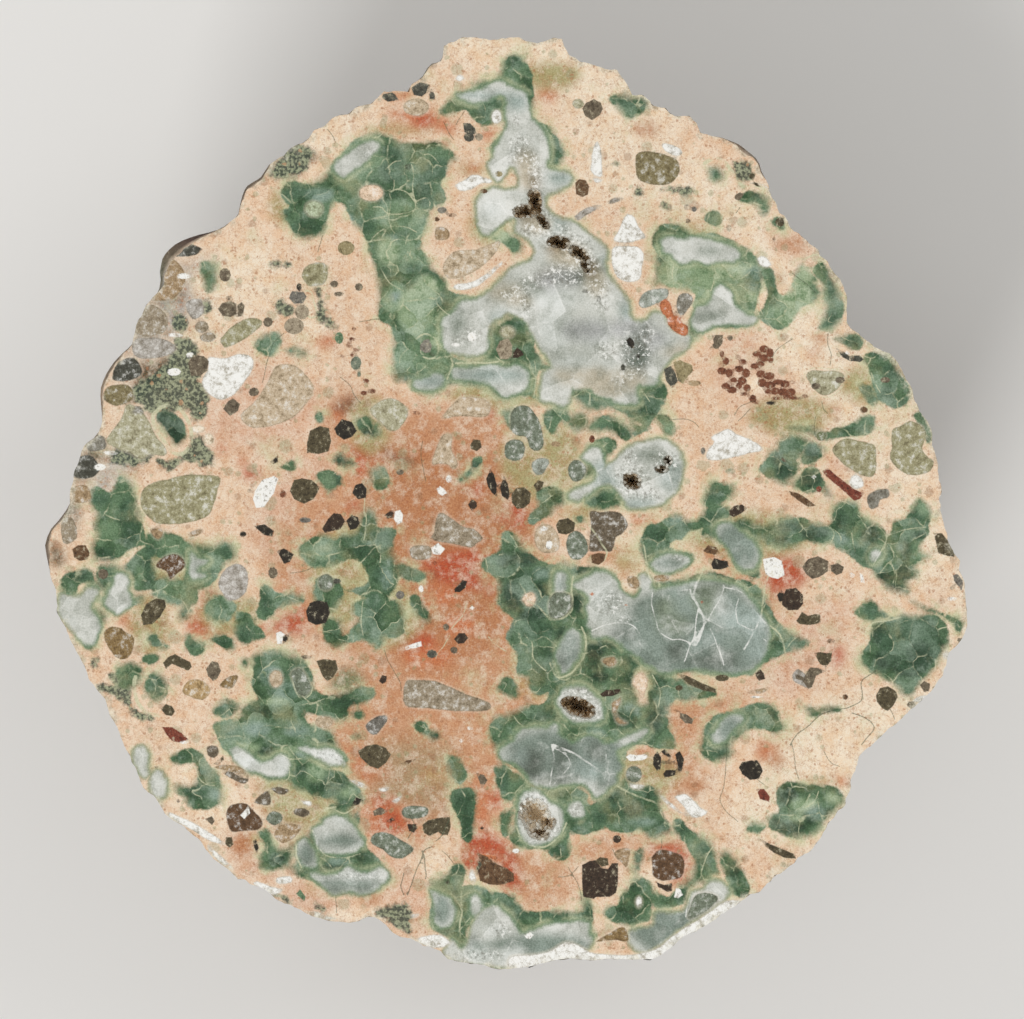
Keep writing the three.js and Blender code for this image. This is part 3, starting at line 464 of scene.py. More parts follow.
# Lighter and darker areas in the greens
GREEN_TONES = """
deep -117,335,12,16 -119,306,16,10 -86,315,9,16 -73,336,14,12 -120,352,13,8 -215,313,14,8 -225,292,5,6
-204,278,16,8 -145,278,10,6 -126,292,10,5 -115,284,12,4
soft -150,332,24,9,35 -170,306,10,6 -104,254,14,12 -87,248,12,10 -114,206,14,16 -90,186,20,12
-108,144,10,16 -84,170,14,10 -76,140,18,8
olive_green -95,360,22,5 -70,307,7,6 -96,216,9,7 -110,130,8,8 -10,174,6,6 5,166,14,7 -175,-140,9,5
-160,-50,8,6 -110,-124,12,8 -104,-66,14,7 -140,-26,8,12
blue_green -92,286,8,3 -114,208,6,5 -30,404,20,4 -119,266,8,4 -74,126,10,6
deep -126,230,9,8 -80,230,10,8 -96,236,8,6 -68,202,6,5 -40,122,22,4 -10,116,8,4
dark_green -340,84,14,16 -332,70,6,11
deep -410,6,10,6 -382,-18,12,24 -406,-50,10,7 -432,-71,12,5 -359,-46,7,6 -362,-66,8,14 -382,-98,8,4
-354,-182,9,11 -284,-205,10,6 -282,-46,8,8 -304,-66,9,5 -266,-128,9,9 -324,-108,6,5 -244,-96,6,14
-319,-138,6,5 -286,-138,9,4
soft -400,-26,12,12 -410,-34,5,8 -370,-68,5,8 -336,-88,6,4
deep -130,-30,10,6 -146,-46,12,8 -119,-46,4,14 -186,-52,12,7 -136,-104,9,18 -140,-126,12,9 -164,-96,9,5
-90,-104,5,10 -132,29,6,7 -130,-70,8,9
dark_green -170,46,9,6 -173,25,5,6 -36,38,10,6 -74,-232,6,4 -142,72,8,5
deep 6,444,8,6 45,352,7,14 17,410,3,12 -29,392,7,5 116,404,10,7 130,400,6,6 206,333,6,4 8,182,10,5
30,152,7,6 70,110,8,6 90,106,12,5 140,100,10,12 124,96,10,6 116,72,9,4 96,78,9,3 150,116,5,7 88,8,10,7
204,10,10,8 192,224,10,16 172,194,5,4 152,240,9,9
soft 170,256,16,8 178,228,10,10 226,220,12,12 156,226,8,5 236,196,8,8 88,62,8,4 160,76,6,5
dark_green 4,-90,10,16 14,-54,14,8 36,-126,8,6 86,-144,10,12 90,-172,9,6 150,-196,9,16 68,-94,7,14
22,-110,14,7 72,-66,8,4 52,-130,6,8 82,-126,4,4
deep 30,-72,10,10 100,-138,9,7 124,-180,8,16 120,-156,9,6 140,-166,10,4 144,-30,12,10 136,-50,5,10
170,-18,12,7 200,-12,10,6 228,-20,8,4 170,-76,24,3 210,-71,20,3 256,-94,5,10 274,-136,16,8 190,-168,30,3
240,-74,6,6 248,-66,4,6
dark_green 280,-22,14,6 306,-28,14,8 272,-34,8,5 360,-30,9,10 364,-50,8,10 396,-46,5,12 394,-68,9,9
374,-72,9,6 386,-83,8,5 380,-130,18,14 410,-130,18,16 400,-160,20,12 374,-154,10,10 424,-144,9,9
410,-31,8,4
deep 400,-116,24,6 362,-106,10,7 330,-14,8,10 348,-46,10,6 408,-10,9,7 258,-212,9,9 210,-246,10,8
202,-228,7,8 320,-205,6,3
blue_green 332,-34,7,6 368,-50,5,7 390,-42,4,5 120,-206,10,7 86,-230,10,5 32,-68,8,5 166,-16,8,5
132,-316,14,4 70,-325,8,3
olive_green 160,-240,8,6 144,-278,8,6 98,-288,8,5 50,-288,16,5 30,-6,12,8 180,-188,16,5 282,78,10,3
328,76,8,4 100,-306,8,12 4,-270,8,6 166,-66,10,4 310,-204,10,4 2,-324,5,10 258,30,8,6 354,112,8,6
306,76,8,3
deep 120,-302,14,8 140,-288,8,6 152,-322,9,7 172,-322,8,7 50,-346,9,7 90,-312,8,8 70,-316,8,4 194,-350,9,14
170,-390,12,6 126,-380,8,6 114,-410,16,6 44,-410,30,4 128,-356,4,9 224,-366,7,10 78,-408,5,12 76,-430,5,5
10,-410,10,6 / 322,220,5,16 320,186,8,8 344,164,7,6 372,150,12,4 382,134,12,8 378,112,7,7 352,76,12,4
336,74,6,4 414,82,4,9
dark_green 302,52,8,9 274,34,9,9 302,26,12,9 320,12,4,6 268,46,7,7
pale_green 288,206,20,16 300,226,9,12 250,226,8,10 266,190,12,10 246,206,6,6
soft 368,124,6,8 312,208,5,16 414,-4,7,7 414,-50,6,4 270,182,6,5
deep -47,-296,9,10 -42,-314,6,18 -53,-368,8,8 -26,-386,9,4 -184,-280,18,7 -168,-276,7,8 -206,-266,10,7
-152,-296,6,5 -310,-287,16,8 -304,-268,8,7 -328,-252,8,4 -164,-300,8,3 -146,-352,7,5 -6,-276,6,12
-2,-400,9,4 -194,-368,10,4 -211,-364,8,3
dark_green -204,-346,8,12 -174,-362,14,4 -200,-334,5,6 -244,-246,8,5 -76,-400,5,10 -56,-400,4,20
-64,-426,6,5 -232,-354,8,6 280,-323,16,7 278,-290,10,10 300,-310,7,10 320,-308,8,5 266,-317,7,4 250,310,9,4
pale_green -246,-260,14,9 -228,-254,10,6 -194,-266,9,12 -162,-288,8,5 -320,-266,4,8 294,-300,14,7
324,-292,8,6 286,-313,8,3 -234,-330,4,10 -148,-406,12,2,20 254,-319,6,3
blue_green -206,-248,9,4 -170,-357,12,4 -294,-289,6,6 306,-308,9,7 330,-288,4,3 -140,-376,8,5
olive_green -186,-350,5,5 -54,-266,7,10 -290,-249,3,3 -218,-360,6,5 270,-284,6,3 296,-283,10,4
blue_green -240,-170,12,10 -224,-186,14,9 -254,-224,14,7 -214,-226,12,5
deep -212,-166,9,7 -246,-206,14,5 -166,-198,14,6 -278,-226,8,7 -184,-236,8,5
pale_green -236,-196,14,3 -262,-242,12,4 -220,-244,14,3 / 164,256,22,9 206,196,20,12 176,236,10,8
-94,194,18,24 -66,166,14,10 -122,254,10,14 238,220,10,16
soft -110,290,24,16 -144,346,20,8 194,230,16,16 -86,266,8,12 216,240,14,10 -100,150,12,14 -376,-76,8,6
blue_green -168,286,12,8 -190,310,14,7 -96,124,16,4
deep 50,-104,9,12 14,-78,12,14 34,-212,16,4 116,-214,12,9 2,-120,6,4 88,-160,14,6
dark_green 30,-94,8,14 106,-290,10,8 144,-216,8,12 -6,-56,7,7 126,-144,8,6
pale_green 190,226,17,13 176,208,10,8 -84,216,12,14
deep 400,-140,30,26 116,-300,16,10 86,-292,10,8 384,-116,16,10
dark_green 124,-304,10,7 410,-150,14,14
pale_green 198,230,50,30 296,214,16,28 284,188,16,14 -10,270,10,7
soft 170,254,14,8 222,216,18,10 194,202,14,6 -334,-40,16,9 -336,-86,14,9 -188,-46,10,10
mid 228,246,16,7 -300,-56,12,8 -180,-90,9,12 308,214,7,22 -118,-114,7,12
blue_green 244,226,10,12 -123,-70,5,16
olive_green 28,-170,10,12 40,10,10,8 76,38,8,8 68,84,8,7 2,86,8,7 -132,26,8,8
deep 26,-126,16,10 44,-150,7,14 150,-184,8,16
mid 16,-156,8,10 -182,24,8,7
"""
# Outlines of the clear and cloudy quartz
QUARTZ = """
quartz -54,411 -42,412 -30,415 -18,422 -8,423 5,416 15,412 19,402 20,388 28,379 34,372 39,360 39,348 37,338
46,334 58,332 62,325 57,319 46,314 37,310 35,300 40,292 50,286 62,283 73,276 85,265 96,256 96,240 98,230
104,223 112,212 118,203 120,189 127,183 136,185 143,192 152,191 157,182 163,174 172,170 180,168 176,157
165,150 156,140 150,130 144,120 132,120 128,121 126,110 128,103 116,102 104,103 96,107 86,111 79,117 67,116
61,117 60,108 59,101 52,99 42,103 32,105 30,112 32,122 33,130 37,135 43,136 40,144 36,150 30,156 27,164
22,172 17,181 9,188 0,192 -8,189 -17,184 -22,176 -23,166 -22,155 -30,151 -40,149 -52,151 -60,152 -66,159
-68,170 -67,184 -58,194 -48,204 -36,205 -26,210 -16,218 -6,228 4,238 14,241 22,245 24,254 20,263 12,269
6,274 6,282 2,287 -8,282 -16,275 -24,271 -30,275 -33,288 -33,302 -27,312 -16,318 -6,315 7,316 9,326 6,336
-2,338 -6,328 -12,324 -17,330 -20,336 -21,342 -16,349 -16,356 -10,366 -4,376 -3,386 -4,396 -3,405 -10,410
-19,407 -30,403 -46,404
blue_quartz -56,136 -40,138 -20,140 -5,138 8,140 16,135 19,126 16,117 6,112 -4,108 -12,112 -20,120 -34,124
-50,125 -57,128 / -97,120 -92,125 -82,128 -77,133 -70,131 -66,125 -68,119 -76,116 -88,116 / -176,336
-169,348 -156,356 -142,364 -133,362 -131,356 -140,346 -154,336 -166,329
quartz 91,34 96,40 104,44 110,49 116,56 124,61 136,64 150,65 162,60 170,53 173,44 172,32 169,20 164,12
156,4 146,-1 130,-3 118,-1 112,8 106,16 98,20 88,20
blue_quartz 73,46 82,41 88,30 84,23 72,19 61,14 60,7 70,6 82,14 94,23 96,36 93,46 91,56 85,58 77,54 /
182,180 186,196 196,200 202,206 204,216 212,220 220,212 224,200 234,192 246,186 240,181 220,180 204,180
192,174 / 150,264 160,268 172,265 184,268 200,265 216,261 226,256 230,248 222,242 210,244 198,240 186,244
172,242 162,250 154,254
quartz -396,-80 -396,-72 -390,-68 -384,-70 -382,-78 -382,-86 -379,-96 -382,-103 -390,-109 -398,-105
-405,-98 -402,-90 / -450,-88 -440,-92 -428,-90 -424,-84 -416,-82 -412,-86 -416,-94 -420,-104 -414,-112
-410,-122 -413,-132 -418,-140 -428,-136 -436,-126 -446,-116 -452,-104
blue_quartz -318,-48 -312,-53 -300,-57 -310,-60 -312,-66 -304,-70 -310,-74 -319,-72 -320,-60
quartz 64,-80 72,-74 80,-70 88,-67 98,-69 106,-76 110,-84 118,-90 126,-92 131,-85 129,-78 135,-69 141,-76
142,-85 156,-83 170,-80 182,-77 196,-75 210,-77 224,-81 234,-87 242,-96 250,-108 258,-119 259,-132 256,-146
250,-156 240,-165 230,-167 216,-167 200,-165 184,-164 168,-165 154,-167 144,-163 134,-157 126,-150 116,-144
106,-135 96,-131 84,-132 81,-124 76,-120 78,-112 76,-104 80,-95 78,-89 70,-85 / 207,-24 212,-19 220,-18
228,-23 236,-31 244,-39 248,-50 245,-63 236,-64 228,-59 222,-50 216,-40 208,-33 / 142,-59 150,-52 162,-49
172,-50 179,-54 175,-60 166,-65 154,-68 146,-65 / 45,-78 46,-69 53,-67 58,-72 57,-78 56,-86 50,-90 45,-86 /
47,-146 52,-135 58,-126 64,-123 69,-128 71,-140 67,-154 61,-163 54,-168 50,-163 47,-154 / 47,-195 54,-185
66,-181 78,-184 86,-193 92,-203 93,-212 88,-216 76,-218 64,-216 56,-212 50,-204 / -4,-240 4,-236 8,-228
16,-224 28,-222 38,-223 45,-218 49,-223 48,-230 56,-234 63,-239 74,-233 86,-233 94,-238 104,-238 112,-233
124,-229 134,-224 138,-226 128,-235 116,-240 107,-246 108,-254 112,-262 107,-270 104,-278 98,-283 90,-291
85,-292 80,-285 74,-279 62,-278 52,-279 42,-282 34,-281 24,-279 18,-272 12,-264 4,-258 -6,-256 -10,-248 /
9,-297 12,-290 22,-286 32,-289 40,-297 48,-301 53,-308 53,-318 49,-328 43,-335 32,-339 20,-339 13,-332
8,-320 8,-308 / 66,-305,8,8
blue_quartz -10,-432 6,-429 20,-426 34,-422 46,-418 58,-418 70,-416 78,-418 79,-428 82,-435 78,-444 66,-446
40,-450 10,-456 -10,-456 / 119,-430 130,-424 143,-420 145,-408 156,-408 170,-407 178,-400 183,-388 194,-384
204,-376 213,-378 218,-386 212,-396 196,-408 176,-420 164,-428 150,-440 136,-448 124,-444 / 214,-213
224,-209 233,-211 230,-218 222,-226 216,-234 208,-238 202,-234 207,-224 / 362,-50 366,-45 371,-47 368,-55
363,-57
quartz -280,-244 -272,-242 -260,-249 -250,-258 -240,-256 -229,-250 -220,-258 -223,-270 -234,-272 -252,-268
-268,-262 -274,-254 / -210,-243 -194,-242 -182,-243 -172,-248 -167,-254 -165,-261 -172,-261 -184,-258
-194,-252 -204,-247 / -197,-325 -188,-320 -180,-312 -170,-311 -162,-315 -154,-323 -149,-333 -147,-340
-154,-346 -164,-349 -176,-350 -188,-348 -192,-342 -196,-334 / -199,-369 -184,-370 -170,-368 -162,-363
-148,-367 -136,-364 -129,-362 -122,-369 -126,-378 -138,-386 -150,-389 -160,-386 -176,-389 -188,-379 /
-213,-339 -205,-334 -197,-344 -193,-360 -204,-362 -212,-352
blue_quartz -59,-434 -49,-445 -42,-436 -39,-424 -34,-412 -26,-404 -16,-401 -6,-407 2,-416 10,-430 10,-454
0,-462 -20,-461 -40,-458 -54,-457 -66,-450 / -78,-386 -70,-390 -60,-394 -55,-406 -58,-418 -68,-422 -76,-416
-76,-402 / -38,-392 -32,-390 -28,-398 -32,-408 -39,-406
lilac_quartz -354,-266 -346,-272 -344,-286 -348,-294 -358,-289 -360,-276 / -374,-243 -364,-242 -362,-260
-364,-272 -370,-268 -376,-254
"""
# Lighter and darker areas in the quartz
QUARTZ_TONES = """
blue_quartz -28,410,24,5 6,404,12,10 -18,130,34,8 -78,124,16,7 96,30,14,14 50,326,12,7 46,280,10,6
96,240,8,9 116,194,7,12 162,30,12,14 130,2,14,5 -10,188,8,5
warm_quartz 70,130,26,9 92,116,26,9 118,123,10,6 40,228,9,5 10,206,14,6 164,156,12,8
quartz_light 44,206,20,14 46,174,18,20 84,170,18,14 154,164,14,8 -20,294,9,10 64,144,16,7
dim_quartz 128,150,14,16 14,350,10,6 70,228,12,7
grey_quartz -54,184,10,16 198,188,14,6 -314,-60,6,10 200,254,12,6 24,216,12,6 140,50,18,8
dusk 120,-100 144,-86 180,-76 220,-80 258,-120 256,-150 230,-170 140,-166 106,-136 / 228,-40,24,24
160,-58,16,7 59,-146,12,20 54,-248,60,26 96,-260,20,24 30,-440,50,12 160,-420,40,30 220,-224,14,14
51,-79,6,10
sage_quartz 183,-80 196,-76 212,-80 211,-92 200,-112 188,-104 182,-92 / 164,-120,16,10 154,-104,10,12
dim_quartz 22,-260,13,17 52,-254,7,10 50,-270,7,8 166,-146,8,9 194,-156,14,6 218,-156,12,8 54,-244,5,6
112,-128,14,5 86,-246,9,12 52,-158,5,8
blue_quartz 196,-136,16,9 226,-114,14,14 246,-120,12,16 244,-146,10,10 9,-252,7,7 76,-264,14,9
quartz_light 98,-94,16,12 102,-112,16,7 88,-76,12,5 20,-294,10,5 136,-77,5,6 210,-96,4,10
dim_quartz -166,-335,6,4 -204,-347,5,4 -146,-364,12,4 -180,-368,8,2 -174,-384,10,4 -38,-438,7,6
-70,-406,6,6 -66,-431,5,3 -144,-382,10,4
dusk -170,-336,22,7 -160,-378,30,6 -204,-350,9,12 -68,-404,10,16 -30,-446,12,8
quartz_light -186,-250,14,5 -260,-256,14,5 -14,-426,10,6 -12,-450,24,5 -164,-316,9,4 -154,-370,20,2
-228,-262,6,8
warm_quartz 16,336,11,18 26,280,14,8 58,249,18,12 86,224,10,14 -6,214,16,8 106,126,30,10
gold 24,322,5,8 19,289,9,4 46,257,10,4 82,236,5,7
lilac_quartz 120,176,20,10 76,174,24,10 46,226,20,10 144,166,12,10
dim_quartz 124,156,9,14 134,176,5,8
white 108,38,6,10 134,-74,12,8 -6,-202,16,10
"""
# Rounded and broken bits of older rock. The thin white strips that follow the lower edge are painted light,
# where the edge slopes towards the light from below
CLASTS = """
peach -139,312,12,8.5
pale_green -196,296,9,8
grey_pink -94,398,13,8.5
white -13.5,388,5,7 -50,427,4.5,3 / -55,320 -46,325 -38,330 -29,329 -19,326 -18,322 -28,322 -38,316 -49,314
pale_olive -382,101 -370,96 -362,86 -354,70 -344,56 -346,49 -360,50 -370,46 -380,52 -392,56 -404,64 -396,76
-388,88
sage -342,26 -324,30 -292,29 -292,16 -296,0 -302,-10 -314,-16 -332,-19 -350,-19 -362,-12 -369,0 -368,14
-356,23 / -290,166 -276,180 -260,187 -248,184 -252,176 -266,166 -284,157 -289,162 / -208,230 -202,240
-186,242 -182,230 -188,220 -200,219 -204,222
white -302,148 -286,147 -270,151 -257,147 -258,134 -266,122 -276,111 -288,105 -298,109 -306,116 -308,126
-302,136
grey_tan -308,178,7,6 -302,168,8,5
grey_pink -270,90 -256,102 -244,120 -234,139 -216,140 -204,130 -196,116 -206,98 -220,86 -240,79 -260,78
cream -301,66,5,6 -312,76,7,4
pale_olive -140,96 -126,106 -114,106 -105,99 -102,90 -108,80 -114,74 -122,75 -128,82 -136,88
grey_pink -68,87 -56,102 -46,108 -30,107 -20,102 -21,90 -30,88 -50,89 / -78,42 -70,66 -64,72 -57,69 -58,56
-52,42 -56,35 -62,40 -70,41
pale_olive -2,173,7,6 68,401,6,5
grey_green 1,92 8,99 18,99 26,90 31,80 33,68 33,58 26,54 20,58 16,68 6,70 1,76 / 0,65 8,66 14,62 15,54
11,46 2,44 -5,49 -5,60 / 58,38 64,45 72,43 76,36 72,26 64,23 59,30
grey_quartz 23,44 32,47 40,44 36,36 32,31 26,30 22,36 / 129,202 132,210 140,215 154,217 159,214 156,206
146,201 136,197 130,198
grey 167,206 172,212 180,211 183,204 178,196 172,189 167,194
orange 150,202 156,207 161,200 164,190 172,189 171,184 178,178 176,169 166,172 158,180 156,188 151,193
white 116,290 123,289 128,280 136,268 126,264 116,262 104,264 109,276 / 102,256 110,259 128,258 134,250
132,238 130,226 120,223 109,226 104,234 102,244 / 81,342 82,352 87,364 91,354 92,338 92,328 84,330 80,336 /
87,325,5,3 151,360 156,362 168,358 173,352 168,349 158,352 / 201,68 208,72 218,76 228,70 240,66 250,60
252,54 240,52 220,47 198,45 198,56 204,62
olive 126,336 126,350 134,354 150,352 166,346 170,334 164,324 154,320 136,322 128,326
lilac 64,288 74,296 86,300 92,299 84,294 74,288 68,284 / 98,304 108,308 114,306 108,303 100,301 / -289,-70
-282,-62 -272,-59 -264,-64 -262,-74 -264,-86 -272,-94 -282,-95 -288,-88 -292,-80
gold -406,-128 -400,-122 -390,-123 -383,-128 -376,-132 -377,-144 -382,-153 -390,-154 -398,-148 -404,-138 /
-290,-180 -282,-172 -272,-170 -274,-178 -279,-184 -286,-183
brown -354,-60 -346,-52 -334,-49 -326,-56 -326,-63 -334,-69 -340,-74 -344,-66 -352,-63
ochre -328,-186 -322,-176 -312,-174 -302,-180 -300,-188 -308,-195 -320,-192
tan -360,-24 -348,-24 -348,-32 -354,-34 / -314,-28,8,3,20
grey_tan -76,-28 -74,-14 -69,-7 -58,-14 -46,-22 -36,-24 -27,-34 -34,-39 -38,-43 -56,-39 -74,-36 -80,-33 /
-100,-44 -92,-40 -80,-42 -79,-52 -88,-55 -98,-53 / -105,-178 -96,-175 -76,-176 -60,-182 -44,-189 -22,-197
-19,-203 -26,-206 -56,-206 -84,-203 -105,-200
slate -144,-220 -138,-214 -130,-210 -123,-211 -123,-217 -129,-224 -135,-230 -142,-227
grey_pink -186,-217,9,6 -234,-174,7,9
grey_green -219,-170 -214,-164 -208,-164 -202,-174 -199,-184 -206,-191 -213,-186 / -184,-77,8,8
umber 80,-6 90,-7 102,-6 112,-9 118,-20 112,-29 106,-32 104,-42 100,-47 92,-46 80,-46 80,-32 81,-20
grey_green 56,-38 60,-28 68,-26 76,-34 78,-46 70,-54 60,-52 / 39,-98 44,-89 52,-87 60,-90 61,-100 57,-108
48,-113 40,-110 / 124,-269,8,8.5 / 180,-404 186,-390 200,-388 208,-394 196,-406 180,-414 178,-410
grey_pink 24,-36 28,-22 40,-20 48,-30 49,-44 40,-48 30,-46
peach 12,-94 16,-88 24,-88 26,-94 24,-100 18,-102 14,-98 / 122,-178 128,-186 132,-196 136,-186 138,-178
134,-168 128,-168
tan 92,-154 104,-152 106,-159 99,-162 / 102,-198 108,-194 112,-192 108,-202 106,-210 114,-216 118,-219
108,-218 103,-208 / 152,-73,8,3.5 118,-72 126,-72 130,-80 124,-84 118,-80 / 104,-348 110,-344 120,-344
119,-356 116,-362 110,-356 / 240,-186 258,-183 254,-188 240,-189
gold 86,-437 96,-430 110,-422 116,-424 118,-436 104,-435
white 0,-452 20,-450 40,-446 54,-437 66,-439 80,-447 96,-449 120,-450 144,-445 160,-433 174,-423 194,-411
214,-397 230,-395 232,-398 210,-414 184,-429 160,-446 140,-456 100,-456 60,-456 20,-463 0,-464 /
129,-397,3,6 150,-290 156,-293 170,-306 182,-312 174,-310 160,-302 / 164,-292 174,-289 180,-292 190,-302
198,-308 186,-313 180,-310 172,-300 / 436,-150,3,5,-20 410,-194,8,3,25 / 339,24 344,30 350,28 354,20 348,16
342,17
brown 142,-352 150,-345 164,-347 173,-353 174,-366 170,-373 163,-375 152,-376 143,-371 142,-360
pale_olive 296,130 302,135 314,134 326,134 334,130 332,122 326,114 314,110 306,114 300,122
sage 322,56 334,66 350,64 364,60 366,48 366,36 362,28 350,30 340,36 330,44 / 382,74 390,79 400,84 410,80
416,70 412,56 418,48 424,44 420,34 406,30 394,32 380,46 382,58
grey 358,10 366,15 378,16 379,8 370,5 368,-2 360,-4 357,4
olive_green 311,69,5,5
lilac 282,-170 288,-164 298,-172 300,-184 290,-180 283,-176
brown -284,-310 -282,-302 -274,-299 -264,-298 -256,-306 -250,-312 -247,-319 -252,-325 -266,-326 -278,-327
-282,-320
white -200,-296 -210,-296 -202,-301 -198,-300 / -232,-373 -220,-371 -218,-377 -230,-379 -234,-376 /
-131,-284 -122,-282 -122,-286 -128,-287 / -118,-296 -110,-292 -108,-291 -112,-298 / -41,-372 -38,-364
-34,-374 -36,-379 / -345,-306 -320,-316 -296,-330 -284,-340 -300,-336 -316,-326 -340,-313 / -99,-410
-90,-409 -96,-413 / -94,-434 -80,-430 -68,-430 -60,-438 -70,-443 -86,-440 / -302,-340 -288,-352 -276,-364
-286,-360 -298,-350 / -254,-376 -240,-381 -226,-385 -240,-390 -256,-380 / -196,-406 -180,-412 -166,-415
-182,-415 -198,-410 / 310,-338 300,-346 286,-354 294,-350 304,-344 311,-334 / 240,322 254,319 262,309
258,317 248,322 / 247,246 254,249 262,240 252,238 / 120,-279 134,-280 130,-284 122,-283 / 366,-240 352,-248
349,-256 358,-248 / -160,-275 -150,-277 -142,-283 -150,-282
umber -214,-304 -206,-303 -200,-308 -206,-312 -216,-309 / -239,-284 -230,-290 -220,-286 -230,-282 /
-288,-267 -278,-267 -268,-273 -260,-274 -266,-279 -278,-274 / -303,-242 -294,-241 -291,-248 -296,-253
-302,-250 / -256,-295 -242,-286 -240,-300 -254,-298
grey_green -139,-332 -132,-327 -120,-328 -110,-334 -100,-340 -96,-345 -104,-352 -110,-354 -118,-352
-128,-344 -138,-339 / -109,-306 -102,-301 -88,-301 -82,-304 -84,-311 -96,-314 -106,-312 / -244,-314
-238,-306 -228,-309 -228,-316 -236,-320
tan -228,-338 -218,-334 -208,-322 -216,-319 -230,-320 -236,-330 / -296,-262 -284,-260 -270,-262 -262,-270
-276,-268 / -360,244 -336,246 -324,226 -336,207 -362,206 -366,224 / -437,17 -423,19 -419,5 -435,3 / -74,278
-62,276 -62,266 -74,266
dark_grey -344,256 -324,262 -308,256 -318,249 -338,249 / -392,142 -376,147 -368,132 -382,124 -398,126 /
-434,47 -418,49 -411,34 -424,26 -438,30
grey_tan -373,195 -356,200 -342,187 -347,172 -370,169 -380,180 / -448,-16 -437,-13 -433,-33 -447,-38
lilac -376,165 -350,167 -334,158 -344,149 -373,147 / -324,202 -310,206 -306,192 -318,186
olive -402,118 -382,120 -377,106 -394,99 -406,106
grey -422,69 -407,69 -405,56 -422,55 / -382,96 -370,99 -366,88 -379,85
grey_pink -56,253 -34,256 -11,264 -16,250 -36,233 -60,226 -67,238
white -55,220 -34,225 -7,244 -11,237 -34,218 -54,215
khaki -28,249,8,3,32 -46,239,7,3,28
"""
